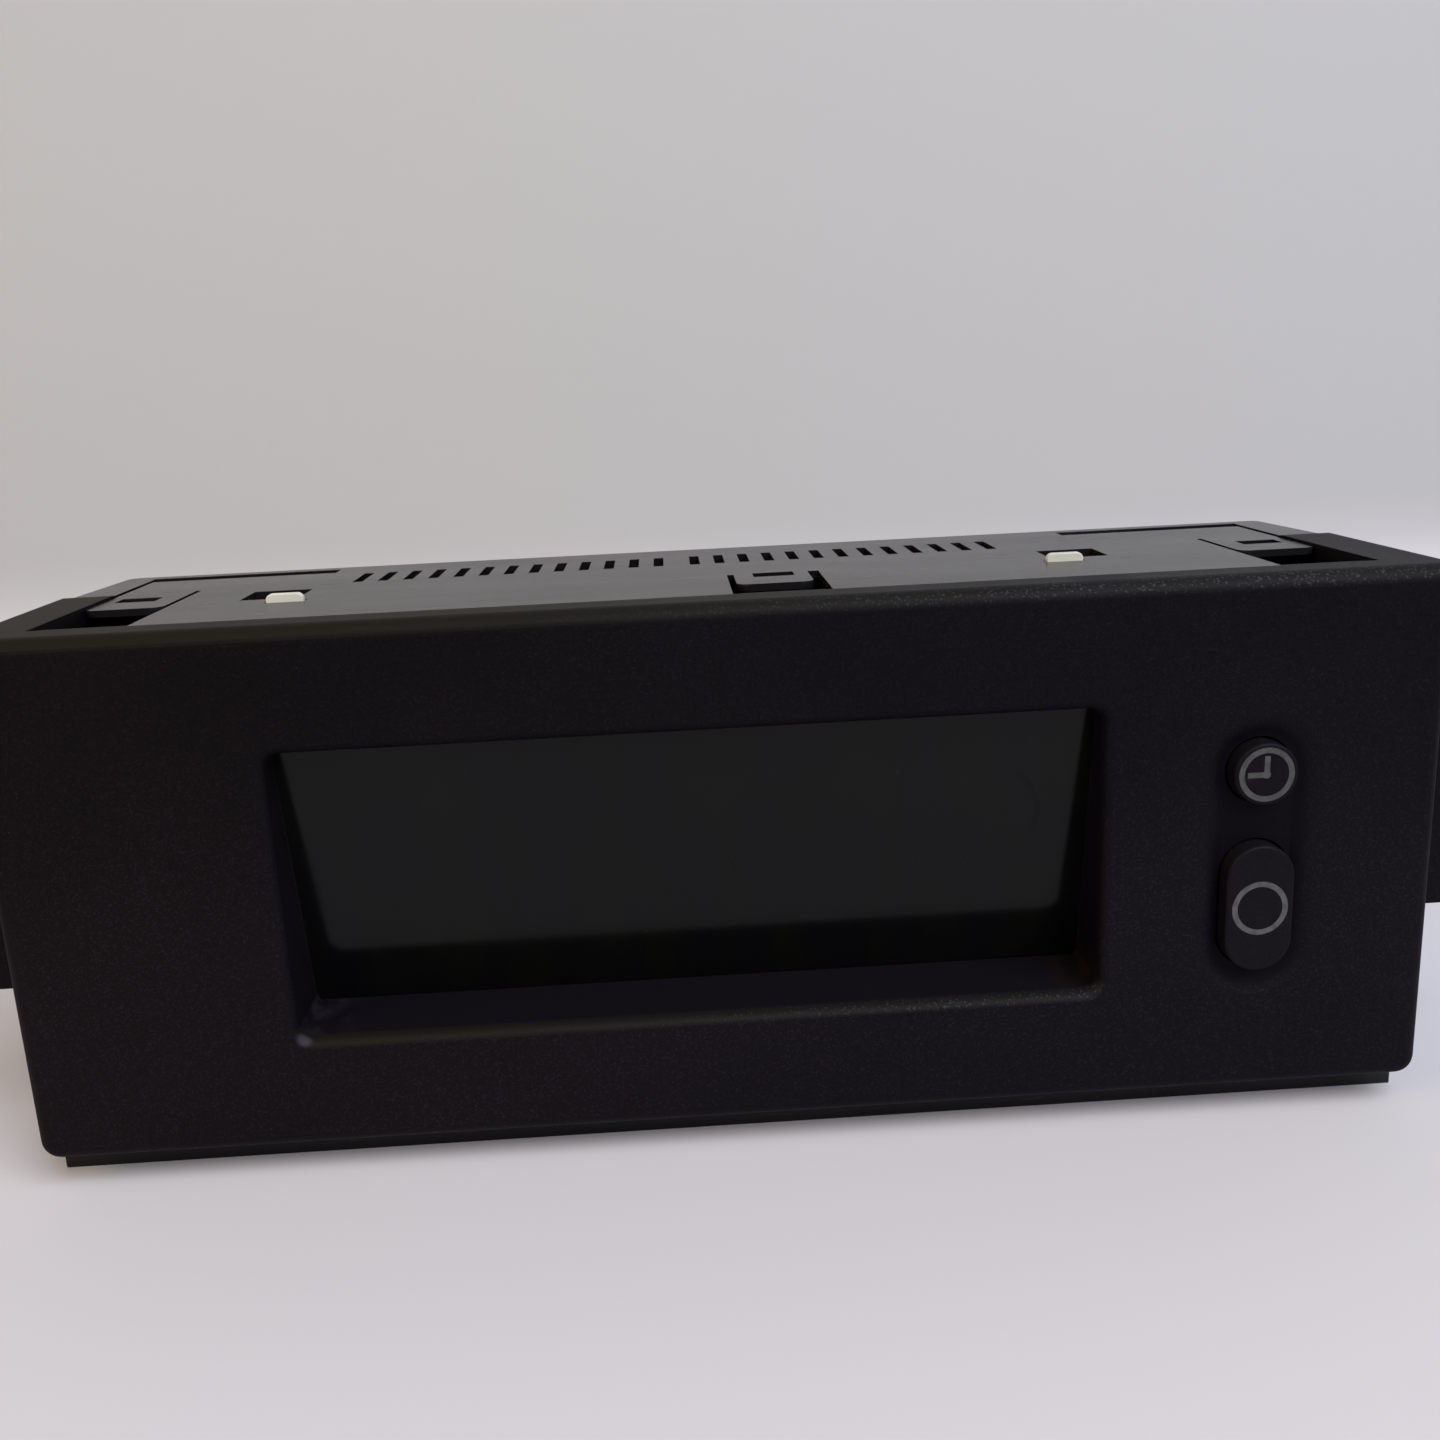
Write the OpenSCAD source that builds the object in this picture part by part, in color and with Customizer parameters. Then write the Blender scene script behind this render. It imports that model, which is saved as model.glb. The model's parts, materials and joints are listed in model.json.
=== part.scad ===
// Car dash display unit: a black bezel with a deep window and two keys, latched onto a vented housing
// that holds the display, its light box and the circuit board.
// X runs to the right seen from the front, Y to the back, Z up. The part stands on its housing's plinth.

/* [Bezel] */
// Width of the bezel
bezel_w = 150; // [146:1:170]
// Height of the bezel
bezel_h = 56.7; // [55:0.1:64]
// Height of the bezel's lower edge above the surface that the unit stands on
bezel_lift = 3.7; // [3.2:0.1:6]
// Thickness of the front panel
bezel_t = 2.5; // [2.2:0.1:2.7]
// Wall of the rim and of the cheeks' top return
rim_t = 2; // [1.6:0.1:2.4]
// Depth of the rim, from the front face to the housing's front edge
rim_d = 5.2; // [4.6:0.1:6]
// Radius of the bezel's front edge
edge_r = 1.8; // [0.6:0.1:1.9]
// Radius of the bezel's lower corners, seen from the front
corner_r = 2.2; // [1.8:0.1:4]
// Depth of the side cheeks, from the front face to their back end
cheek_d = 30.2; // [28:0.2:33]
// Width of a cheek's top return
cheek_w = 5.7; // [4.8:0.1:6.4]
// Thickness of a cheek's side wall
cheek_t = 1.8; // [1.4:0.1:2.2]

/* [Ears] */
// How far a screw ear stands out from the bezel's side
ear_w = 13; // [11:0.5:18]
// Height of a screw ear
ear_h = 24.5; // [18:0.1:30]
// Thickness of a screw ear
ear_t = 3; // [2:0.1:4]
// Depth of the ear's front face behind the bezel's front
ear_set = 10; // [8:0.5:14]
// Radius of the screw hole in an ear
ear_hole_r = 2.25; // [1.6:0.05:3]
// Distance from the bezel's side to the screw hole's axis
ear_hole_x = 8.5; // [6:0.1:9]

/* [Window] */
// Width of the window opening
window_w = 85.4; // [78:0.2:87]
// Height of the window opening
window_h = 31.4; // [28:0.2:33]
// Distance of the window's centre from the bezel's centre, to the left
window_left = 3.3; // [2:0.1:5]
// Height of the window's lower edge above the bezel's lower edge
window_rise = 12.3; // [11:0.1:13]
// Radius of the window's corners
window_r = 1.6; // [0.8:0.1:3]
// Rounding of the window's front lip
lip_r = 1; // [0.4:0.1:1.4]
// Slope of the window's sill, up towards the back
sill_slope = 4.8; // [0:0.2:6]
// Depth of the lens's front face at the window's upper edge
lens_set = 3.35; // [2.6:0.05:4]
// Tilt of the lens, with its top forward
lens_tilt = 10.4; // [8:0.05:13]
// Thickness of the lens
lens_t = 1.5; // [1:0.1:2]

/* [Keys] */
// Distance of the keys' centre line from the bezel's right side
key_edge = 19.2; // [18:0.1:20]
// Width of the shallow recess round the keys, at the bezel's face
recess_w = 13.4; // [13.2:0.1:14]
// Height of the recess
recess_h = 32.4; // [30:0.2:34]
// Depth of the recess
recess_d = 0.8; // [0.4:0.1:1.1]
// Radius of the recess's soft rim
recess_rim = 6; // [2:0.1:6.4]
// Height of the recess's centre above the bezel's lower edge
recess_rise = 26.6; // [25.6:0.1:28]
// Radius of the round key
clock_key_r = 3.35; // [2.9:0.05:3.45]
// Width of the oblong key
select_key_w = 7.2; // [6:0.1:7.6]
// Height of the oblong key
select_key_h = 14; // [10:0.2:14.6]
// Height of the round key's axis above the bezel's lower edge
clock_key_rise = 36.15; // [35.9:0.05:37]
// Height of the oblong key's centre above the bezel's lower edge
select_key_rise = 21.4; // [20:0.1:21.6]
// How far the keys stand proud of the bezel
key_proud = 1.2; // [0.8:0.1:2]
// Travel of a key
key_travel = 0.8; // [0.3:0.1:1]
// Mean radius of the ring in the oblong key
mark_r = 2.68; // [2.2:0.02:2.8]
// Mean radius of the clock face's ring in the round key
clock_mark_r = 2.6; // [2.2:0.05:2.7]
// Line width of the light marks
mark_line = 0.6; // [0.4:0.05:0.8]

/* [Housing] */
// Width of the housing at its back
housing_w = 147.4; // [145:0.2:149]
// Radius of the housing's upright rear corners
rear_r = 1.2; // [0.8:0.1:3]
// Height of the housing
housing_h = 60.1; // [59.6:0.1:66]
// Depth of the unit, from the bezel's front face to the housing's back
housing_d = 46; // [44:0.5:60]
// Wall of the housing
wall = 2; // [1.6:0.1:2.2]
// Number of vent slots on each side of the middle
vent_count = 13; // [6:1:13]
// Spacing of the vent slots
vent_pitch = 3.01; // [2.4:0.01:3.3]
// Width of a vent slot
vent_w = 1.2; // [0.8:0.1:1.6]
// Length of a vent slot
vent_l = 7.5; // [4:0.1:9]
// Distance between the two slots nearest the middle
vent_gap = 4.41; // [3.4:0.01:8]
// Width of a corner latch's notch
latch_w = 9.4; // [8.6:0.1:11]
// Width of the middle latch's notch
centre_w = 10.4; // [9.6:0.1:12]
// Length of a latch's small catch slot
catch_w = 4.6; // [3.6:0.1:5.4]
// Width of a latch's catch slot, front to back
catch_l = 2.9; // [1.5:0.1:3.2]

/* [Display] */
// Width of the display glass
glass_w = 90.4; // [86:0.2:92]
// Height of the front glass plate
glass_h = 37.2; // [35.6:0.2:38]
// Thickness of one glass plate
glass_t = 1.1; // [0.7:0.1:1.3]
// Depth of the light box, front to back
box_d = 9.6; // [8:0.2:11]
// Thickness of the circuit board
board_t = 1.6; // [1:0.1:2]

/* [Hidden] */
// Clearance between parts that slide or drop together
gap = 0.2;
// Running clearance of a key's skirt in its collar, and of a plunger in its switch
run_gap = 0.08;
// Visible gap round a key cap
key_gap = 0.25;
eps = 0.01;
$fn = 48;

bezel_mid = bezel_lift + bezel_h / 2;
bezel_top = bezel_lift + bezel_h;

window_x = -window_left;
window_low = bezel_lift + window_rise;
window_top = window_low + window_h;
window_mid = window_low + window_h / 2;
lens_lap = 1.4;
seat_lip = 1.2;
tape_t = 0.15;
lens_cos = cos(lens_tilt);
lens_w = window_w + 2 * lens_lap;
function lens_y(z) = lens_set + (window_top - z) * tan(lens_tilt);

key_x = bezel_w / 2 - key_edge;
clock_z = bezel_lift + clock_key_rise;
select_z = bezel_lift + select_key_rise;
recess_z = bezel_lift + recess_rise;
skirt_grow = 1;
skirt_d = 2.4;
skirt_y = bezel_t + gap;
collar_t = 0.8;
collar_d = skirt_y + skirt_d + key_travel + 1;
key_edge_r = 0.35;
mark_t = 0.3;
mark_gap = 0.01;
stem_r = 2;

waist_half = bezel_w / 2 - cheek_t - gap;
waist_end = cheek_d + gap;
shell_y = rim_d + gap;
plate_half = bezel_w / 2 - cheek_w - gap;
plinth_h = bezel_lift - gap;
plinth_w = bezel_w - 2 * gap;
shoulder_w = bezel_w - 3 * gap;
inner_half = waist_half - wall;
plate_under = housing_h - wall;

latch_x = plate_half + gap - latch_w / 2;
corner_front = 19;
corner_root = 31;
corner_slit = 0.6;
side_slit = 0.8;
centre_x = 7.45;
centre_front = 13.3;
centre_root = 21;
centre_slits = [0.75, 1.25];
tongue_r = 1.4;
tongue_edge = 0.8;
tongue_hollow = 3.5;
corner_catch = 0.75;
cheek_fade = 2;
cheek_fall = 0.3;
catch_back = 6.6;
strip_l = 23.6;
strip_d = 3;
strip_y = housing_d - wall - strip_d;
arm_t = 1.6;
arm_w = latch_w - 2.4;
arm_z = plate_under - gap;
arm_foot = min(arm_z - arm_t, bezel_top - rim_t);
notch_d = rim_d + 2.8;

film_t = 0.2;
sheet_t = 0.5;
shield_min = 0.8;
lcd_y = lens_y(window_low - lens_lap) + (tape_t + lens_t) / lens_cos + shield_min;
film_y = lcd_y + sheet_t;
glass_y = film_y + film_t;
back_film_y = glass_y + 2 * glass_t;
diffuser_y = back_film_y + film_t;
diffuser_t = 0.3;
box_y = diffuser_y + diffuser_t;
board_y = box_y + box_d;
board_back = board_y + board_t;
rear_y = housing_d - wall;
view_w = window_w - 5.4;
view_h = window_h - 4.4;
strip_t = 2;
strip_z = glass_h / 2 - 0.6 - strip_t / 2;
strip_inset = 5;
strip_w = glass_w - 2 * strip_inset;
back_glass_h = 2 * (strip_z - strip_t / 2) - 1.2;
box_w = glass_w + 0.7;
box_h = 2 * (strip_z + strip_t / 2 + gap / 2 + 0.8);
box_wall = 1.2;
box_floor = 1;
frame_w = box_w + 2 * (gap + sheet_t);
frame_h = max(box_h, glass_h) + 2 * (gap + sheet_t);

tab_w = 4.1;
tab_x = (box_w - tab_w) / 2;
tab_t = 1;
tab_y = 18.2;
tab_r = 0.7;
tab_rise = 0.9;
tab_hole_x = box_w / 2 + 0.38;
tab_hole_y = 21;
tab_hole_w = 6.65;
tab_hole_l = 6.4;
peg_lift = 0.5;

board_half = inner_half - 1.5;
board_low = bezel_lift + 2.8;
board_top = plate_under - gap - arm_t - 1.8;
screw_x = board_half - 4;
screw_low = board_low + 3.6;
screw_top = board_top - 3.6;
screw_r = 1.3;
post_r = 3.5;

switch_w = 6.2;
switch_d = 3.4;
plunger_r = 1.75;
plunger_out = key_travel + 0.2;
switch_y = board_y - switch_d;
stem_end = switch_y - plunger_out;

plug_w = 38;
plug_h = 13;
plug_x = 22;
plug_rise = 13.5;
plug_z = bezel_lift + plug_rise;
plug_t = 1.2;
plug_floor = 3;
pin_pitch = 2.54;
pin_count = 13;
pin_w = 0.64;
pin_row = 2.2;
plug_back = housing_d - 0.4;

back_to_front = housing_d + key_proud;
mid_y = housing_d - back_to_front / 2;

// The whole part is centred front to back
module seat() { translate([0, -mid_y, 0]) children(); }

// Extrudes an outline drawn in X and Z from y0 to y1
module slab(y0, y1) { translate([0, y1, 0]) rotate([90, 0, 0]) linear_extrude(y1 - y0) children(); }

// Extrudes an outline drawn in Y and Z along X, from x0 to x1
module bar(x0, x1) { translate([x0, 0, 0]) rotate([90, 0, 90]) linear_extrude(x1 - x0) children(); }

// Turns a revolved profile so that its axis runs to the back
module back_axis() { rotate([-90, 0, 0]) children(); }

module box_2d(w, h) { square([w, h], center = true); }

module round_rect(w, h, r) {
    if (h > 2 * r) box_2d(w, h - 2 * r);
    if (w > 2 * r) box_2d(w - 2 * r, h);
    for (x = [-1, 1], z = [-1, 1]) translate([x * (w / 2 - r), z * (h / 2 - r)]) circle(r);
}

// A rectangle with round lower corners and sharp upper ones
module sill_rect(w, h, r) {
    translate([0, r / 2]) box_2d(w, h - r);
    translate([0, r / 2 - h / 2]) box_2d(w - 2 * r, r + eps);
    for (x = [-1, 1]) translate([x * (w / 2 - r), r - h / 2]) circle(r);
}

// The section of a plate with its front at depth 0 and both front edges rounded
module soft_section(span, edge, depth) {
    translate([-span / 2, edge]) square([span, depth - edge]);
    translate([edge - span / 2, 0]) square([span - 2 * edge, edge + eps]);
    for (side = [-1, 1]) translate([side * (span / 2 - edge), edge]) circle(edge);
}

// A corner of such a plate, turned about the axis of its radius
module soft_corner(r, edge, depth) {
    back_axis() rotate_extrude() intersection() {
        square([r, depth]);
        union() {
            translate([0, edge]) square([r, depth]);
            translate([r - edge, edge]) circle(edge);
            if (r > edge) square([r - edge, edge + eps]);
        }
    }
}

// A plate with its front face at y = 0 and a round front edge. Seen from the front, its lower corners are
// round, and at its upper ones the two edges meet in a mitre.
module soft_plate(w, h, r, edge, depth) {
    intersection() {
        translate([0, 0, r - h / 2]) linear_extrude(h - r) soft_section(w, edge, depth);
        bar(-w / 2, w / 2) mirror([1, -1]) soft_section(h, edge, depth);
    }
    bar(r - w / 2, w / 2 - r) mirror([1, -1]) soft_section(h, edge, depth);
    for (x = [-1, 1]) translate([x * (w / 2 - r), 0, r - h / 2]) soft_corner(r, edge, depth);
}

// A round or oblong key cap with a round front edge
module soft_key(w, h, edge, depth) {
    r = w / 2;
    for (z = h > w ? [-1, 1] : [0]) translate([0, 0, z * (h / 2 - r)]) soft_corner(r, edge, depth);
    if (h > w) translate([0, 0, r - h / 2]) linear_extrude(h - w) soft_section(w, edge, depth);
}

// A cutter for an opening with a rounded lip at y = 0, as deep as the lip's radius
module lip_cut(w, h, r, lip) {
    slab(-eps, lip) round_rect(w, h, r);
    for (x = [-1, 1], z = [-1, 1]) translate([x * (w / 2 - r), 0, z * (h / 2 - r)]) back_axis()
        rotate_extrude() difference() {
            translate([0, -eps]) square([r + lip, lip + eps]);
            translate([r + lip, lip]) circle(lip);
        }
    if (w > 2 * r) for (z = [-1, 1]) bar(r - w / 2, w / 2 - r) difference() {
        translate([-eps, z > 0 ? 0 : -h / 2 - lip]) square([lip + eps, h / 2 + lip]);
        translate([lip, z * (h / 2 + lip)]) circle(lip);
    }
    if (h > 2 * r) for (x = [-1, 1]) translate([0, 0, r - h / 2]) linear_extrude(h - 2 * r) difference() {
        translate([x > 0 ? 0 : -w / 2 - lip, -eps]) square([w / 2 + lip, lip + eps]);
        translate([x * (w / 2 + lip), lip]) circle(lip);
    }
}

// A shallow dish: its rim is the outer part of a wide radius
module dish_cut(w, h, rim, depth) {
    intersection() {
        lip_cut(w - 2 * rim, h - 2 * rim, w / 2 - rim, rim);
        slab(-1, depth) box_2d(w + 2, h + 2);
    }
}

// The well's hollow, with its sill rising to the back
module window_cut() {
    translate([window_x, 0, window_mid]) lip_cut(window_w, window_h, window_r, lip_r);
    intersection() {
        translate([window_x, 0, window_mid]) slab(lip_r - eps, housing_d) round_rect(window_w, window_h, window_r);
        bar(-bezel_w / 2, bezel_w / 2) polygon([
            [0, window_low], [lip_r, window_low],
            [housing_d, window_low + (housing_d - lip_r) * tan(sill_slope)],
            [housing_d, window_top + 1], [0, window_top + 1]
        ]);
    }
}

// A slab parallel to the lens, between two distances behind the lens's seat
module lens_layer(w, lap, d0, d1) {
    z0 = window_low - lap;
    z1 = window_top + lap;
    translate([window_x, 0, 0]) bar(-w / 2, w / 2) polygon([
        [lens_y(z0) + d0 / lens_cos, z0], [lens_y(z0) + d1 / lens_cos, z0],
        [lens_y(z1) + d1 / lens_cos, z1], [lens_y(z1) + d0 / lens_cos, z1]
    ]);
}

// The well's walls, with a stepped seat for the lens
module window_well() {
    lip_lap = lens_lap + gap + seat_lip;
    z0 = window_low - lip_lap;
    z1 = window_top + lip_lap;
    reach = (tape_t + lens_t) / lens_cos;
    difference() {
        translate([window_x, 0, 0]) bar(-window_w / 2 - lip_lap, window_w / 2 + lip_lap) polygon([
            [bezel_t - 0.5, z0], [lens_y(z0) + reach, z0],
            [lens_y(z1) + reach, z1], [bezel_t - 0.5, z1]
        ]);
        lens_layer(lens_w + 2 * gap, lens_lap + gap, 0, 4 * lens_t);
    }
}

// A cheek reaches back over the housing's shoulder
module cheek_outline() {
    intersection() {
        translate([0, bezel_mid]) sill_rect(bezel_w, bezel_h, corner_r);
        for (x = [0, 1]) mirror([x, 0]) {
            translate([bezel_w / 2 - cheek_t, bezel_lift]) square([cheek_t, bezel_h]);
            translate([bezel_w / 2 - cheek_w, bezel_top - rim_t]) square([cheek_w, rim_t]);
        }
    }
}

// A snap arm on top: its block fills the notch's mouth and its nose stands in the catch slot
module top_arm(x, shift, front) {
    slot_y = front + catch_back;
    nose_w = catch_w - 2 * gap;
    nose_l = catch_l - 2 * gap;
    bar(x - arm_w / 2, x + arm_w / 2) polygon([
        [bezel_t - 0.5, arm_z - arm_t], [slot_y + nose_l / 2, arm_z - arm_t],
        [slot_y + nose_l / 2, arm_z], [bezel_t - 0.5, arm_z]
    ]);
    bar(x + shift - nose_w / 2, x + shift + nose_w / 2) polygon([
        [slot_y - nose_l / 2, arm_z - eps], [slot_y + nose_l / 2, arm_z - eps],
        [slot_y + nose_l / 2, arm_z + 0.8], [slot_y, housing_h - 0.6], [slot_y - nose_l / 2, housing_h - 0.6]
    ]);
    bar(x - latch_w / 2 + gap, x + latch_w / 2 - gap) polygon([
        [bezel_t - 0.5, arm_foot], [notch_d, arm_foot],
        [notch_d, housing_h - 0.1], [bezel_t - 0.5, housing_h - 0.1]
    ]);
}

// A snap arm underneath runs over the plinth's front wall, and its nose points down
module low_arm(x, shift, front) {
    slot_y = front + catch_back;
    nose_w = catch_w - 2 * gap;
    nose_l = catch_l - 2 * gap;
    low = bezel_lift + gap;
    bar(x - arm_w / 2, x + arm_w / 2) polygon([
        [bezel_t - 0.5, low], [slot_y + nose_l / 2, low],
        [slot_y + nose_l / 2, low + arm_t], [bezel_t - 0.5, low + arm_t]
    ]);
    bar(x + shift - nose_w / 2, x + shift + nose_w / 2) polygon([
        [slot_y - nose_l / 2, low + eps], [slot_y - nose_l / 2, 0.6], [slot_y, 0.6],
        [slot_y + nose_l / 2, wall], [slot_y + nose_l / 2, low + eps]
    ]);
}

// A screw ear with two gussets, drawn for the right side
module ear() {
    ear_r = 3;
    rib_t = 1.8;
    rib_d = 8;
    side = bezel_w / 2;
    difference() {
        union() {
            translate([side - 1, 0, bezel_mid]) slab(ear_set, ear_set + ear_t) {
                translate([0, -ear_h / 2]) square([ear_w + 1 - ear_r, ear_h]);
                translate([0, ear_r - ear_h / 2]) square([ear_w + 1, ear_h - 2 * ear_r]);
                for (z = [-1, 1]) translate([ear_w + 1 - ear_r, z * (ear_h / 2 - ear_r)]) circle(ear_r);
            }
            for (z = [-ear_h / 2, ear_h / 2 - rib_t]) translate([0, 0, bezel_mid + z]) linear_extrude(rib_t)
                polygon([
                    [side - 0.5, ear_set + ear_t - 0.5], [side + ear_w - ear_r, ear_set + ear_t - 0.5],
                    [side + ear_w - ear_r, ear_set + ear_t], [side, ear_set + ear_t + rib_d],
                    [side - 0.5, ear_set + ear_t + rib_d]
                ]);
        }
        translate([side + ear_hole_x, ear_set - 1, bezel_mid]) back_axis() cylinder(r = ear_hole_r, h = ear_t + 2);
    }
}

module clock_outline(grow) { circle(clock_key_r + grow); }

module select_outline(grow) {
    round_rect(select_key_w + 2 * grow, select_key_h + 2 * grow, select_key_w / 2 + grow);
}

module at_clock() { translate([key_x, 0, clock_z]) children(); }

module at_select() { translate([key_x, 0, select_z]) children(); }

module front_bezel() {
    color("#1d1b20") seat() difference() {
        union() {
            difference() {
                translate([0, 0, bezel_mid]) soft_plate(bezel_w, bezel_h, corner_r, edge_r, rim_d);
                translate([0, 0, bezel_mid]) slab(bezel_t, rim_d + 1)
                    box_2d(bezel_w - 2 * cheek_t, bezel_h - 2 * rim_t);
            }
            slab(rim_d - eps, cheek_d) cheek_outline();
            window_well();
            at_clock() slab(bezel_t - 0.5, collar_d) clock_outline(skirt_grow + run_gap + collar_t);
            at_select() slab(bezel_t - 0.5, collar_d) select_outline(skirt_grow + run_gap + collar_t);
            for (x = [-latch_x, latch_x]) {
                top_arm(x, sign(x) * corner_catch, corner_front);
                low_arm(x, sign(x) * corner_catch, corner_front);
            }
            top_arm(centre_x, 0, centre_front);
            low_arm(centre_x, 0, centre_front);
            for (side = [0, 1]) mirror([side, 0, 0]) ear();
        }
        for (x = [bezel_w / 2 - cheek_w - 1, -bezel_w / 2 - 1]) bar(x, x + cheek_w + 2) polygon([
            [cheek_d - cheek_fade, bezel_top], [cheek_d - cheek_fade, bezel_top + 1],
            [cheek_d + 1, bezel_top + 1], [cheek_d + 1, bezel_top - cheek_fall * (1 + 1 / cheek_fade)]
        ]);
        window_cut();
        translate([key_x, 0, recess_z]) dish_cut(recess_w, recess_h, recess_rim, recess_d);
        at_clock() slab(-1, bezel_t + eps) clock_outline(key_gap);
        at_clock() slab(bezel_t, collar_d + 1) clock_outline(skirt_grow + run_gap);
        at_select() slab(-1, bezel_t + eps) select_outline(key_gap);
        at_select() slab(bezel_t, collar_d + 1) select_outline(skirt_grow + run_gap);
    }
}

module display_lens() {
    color("#20261f", 0.6) seat() lens_layer(lens_w, lens_lap, tape_t, tape_t + lens_t);
}

module lens_tape() {
    color("#101010") seat() difference() {
        lens_layer(lens_w, lens_lap, 0, tape_t);
        translate([window_x, 0, window_mid]) slab(0, housing_d) round_rect(window_w, window_h, window_r);
    }
}

module light_shield() {
    z0 = window_low - lens_lap;
    z1 = window_top + lens_lap;
    start = (tape_t + lens_t) / lens_cos + gap / 2;
    color("#141414") seat() translate([window_x, 0, 0]) difference() {
        bar(-lens_w / 2, lens_w / 2) polygon([
            [lens_y(z0) + start, z0], [lcd_y, z0], [lcd_y, z1], [lens_y(z1) + start, z1]
        ]);
        translate([0, 0, window_mid]) slab(0, housing_d) box_2d(view_w, view_h);
    }
}

// Parts of the display stack are drawn round the window's centre
module at_display() { translate([window_x, 0, window_mid]) children(); }

module lcd_frame() {
    frame_d = box_y - lcd_y + 1.7;
    color("#9a9c9e") seat() at_display() difference() {
        slab(lcd_y, lcd_y + frame_d) box_2d(frame_w, frame_h);
        slab(film_y, lcd_y + frame_d + 1) box_2d(frame_w - 2 * sheet_t, frame_h - 2 * sheet_t);
        slab(lcd_y - 1, film_y + 1) box_2d(view_w, view_h);
    }
}

module lcd_glass() {
    color("#39423a") seat() at_display() {
        slab(glass_y, glass_y + glass_t) box_2d(glass_w, glass_h);
        slab(glass_y + glass_t, back_film_y) box_2d(glass_w, back_glass_h);
    }
}

module lcd_polarisers() {
    color("#2c332c") seat() at_display() {
        slab(film_y, glass_y) box_2d(glass_w - 4, glass_h - 4);
        slab(back_film_y, diffuser_y) box_2d(glass_w - 4, back_glass_h - 1);
    }
}

module contact_strips() {
    color("#d98a9c") seat() at_display() for (z = [-strip_z, strip_z])
        slab(glass_y + glass_t, board_y) translate([0, z]) box_2d(strip_w, strip_t);
}

module diffuser_sheet() {
    color("#f4f4ee") seat() at_display() slab(diffuser_y, box_y) box_2d(glass_w - 4, back_glass_h);
}

lamp_columns = 5;
lamp_pitch = 17;
lamp_row = 7;
lamp_w = 3.5;
lamp_h = 2.8;
lamp_d = 1.9;
lamp_gap = 0.4;
lamp_hole = 2;

module lamp_places() {
    for (i = [0 : lamp_columns - 1], z = [-lamp_row, lamp_row])
        translate([(i - (lamp_columns - 1) / 2) * lamp_pitch, 0, z]) children();
}

module light_box() {
    hollow_h = 2 * (strip_z - strip_t / 2 - gap / 2) - 1.2;
    tab_top = housing_h - window_mid + tab_rise;
    tab_foot = box_h / 2 - 0.5;
    color("#eceae0") seat() at_display() {
        difference() {
            slab(box_y, board_y) box_2d(box_w, box_h);
            slab(box_y - 1, board_y - box_floor) box_2d(box_w - 2 * box_wall, hollow_h);
            for (z = [-strip_z, strip_z]) slab(box_y - 1, board_y + 1) translate([0, z])
                box_2d(strip_w + gap, strip_t + gap);
            lamp_places() slab(board_y - lamp_hole, board_y + 1)
                box_2d(lamp_w + 2 * lamp_gap, lamp_h + 2 * lamp_gap);
        }
        for (x = [-tab_x, tab_x]) slab(tab_y, tab_y + tab_t) translate([x, 0]) {
            translate([-tab_w / 2, tab_foot]) square([tab_w, tab_top - tab_r - tab_foot]);
            translate([tab_r - tab_w / 2, tab_foot]) square([tab_w - 2 * tab_r, tab_top - tab_foot]);
            for (side = [-1, 1]) translate([side * (tab_w / 2 - tab_r), tab_top - tab_r]) circle(tab_r);
            translate([-tab_w / 2, peg_lift - window_mid]) square([tab_w, window_mid - peg_lift - tab_foot]);
        }
    }
}

module backlight_leds() {
    color("#f2e7b0") seat() at_display() lamp_places() slab(board_y - lamp_d, board_y) box_2d(lamp_w, lamp_h);
}

module board_holes() {
    for (x = [-screw_x, screw_x], z = [screw_low, screw_top]) translate([x, 0, z]) children();
}

module main_board() {
    color("#2f6b43") seat() difference() {
        translate([0, 0, (board_low + board_top) / 2]) slab(board_y, board_back)
            box_2d(2 * board_half, board_top - board_low);
        board_holes() translate([0, board_y - 1, 0]) back_axis() cylinder(r = screw_r + 0.3, h = board_t + 2);
    }
}

part_lift = 0.15;
chip_w = 14;
chip_t = 1.6;
chip_x = -22;
chip_z = window_mid - 1;
driver_w = 12.8;
driver_h = 7.5;
driver_t = 2.3;
driver_x = -52;
driver_gap = 8.5;
driver_zs = [window_mid - (driver_h + driver_gap) / 2, window_mid + (driver_h + driver_gap) / 2];
lead_pitch = 1.27;
lead_w = 0.4;
lead_t = 0.2;
lead_out = 0.7;
lead_foot = 0.8;

module processor_chip() {
    color("#232323") seat() translate([chip_x, 0, chip_z])
        slab(board_back + part_lift, board_back + part_lift + chip_t) box_2d(chip_w, chip_w);
}

module driver_chips() {
    color("#262626") seat() for (z = driver_zs) translate([driver_x, 0, z])
        slab(board_back + part_lift, board_back + part_lift + driver_t) box_2d(driver_w, driver_h);
}

// One gull-wing leg: it leaves the body at x = 0 and lands on the board
module leg(stand) {
    end = lead_out + lead_foot;
    translate([0, 0, -lead_w / 2]) linear_extrude(lead_w) polygon([
        [0, stand], [lead_out, stand], [lead_out, lead_t], [end, lead_t],
        [end, 0], [lead_out - lead_t, 0], [lead_out - lead_t, stand - lead_t], [0, stand - lead_t]
    ]);
}

// A row of legs on the right-hand side of a body
module leg_row(count, reach, stand) {
    for (i = [0 : count - 1]) translate([reach, board_back, (i - (count - 1) / 2) * lead_pitch]) leg(stand);
}

module chip_leads() {
    color("#b9bbbd") seat() {
        translate([chip_x, 0, chip_z]) for (turn = [0 : 90 : 270]) rotate([0, turn, 0])
            leg_row(10, chip_w / 2, part_lift + chip_t / 2);
        for (z = driver_zs) translate([driver_x, 0, z]) for (turn = [90, 270]) rotate([0, turn, 0])
            leg_row(9, driver_h / 2, part_lift + driver_t / 2);
    }
}

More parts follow.
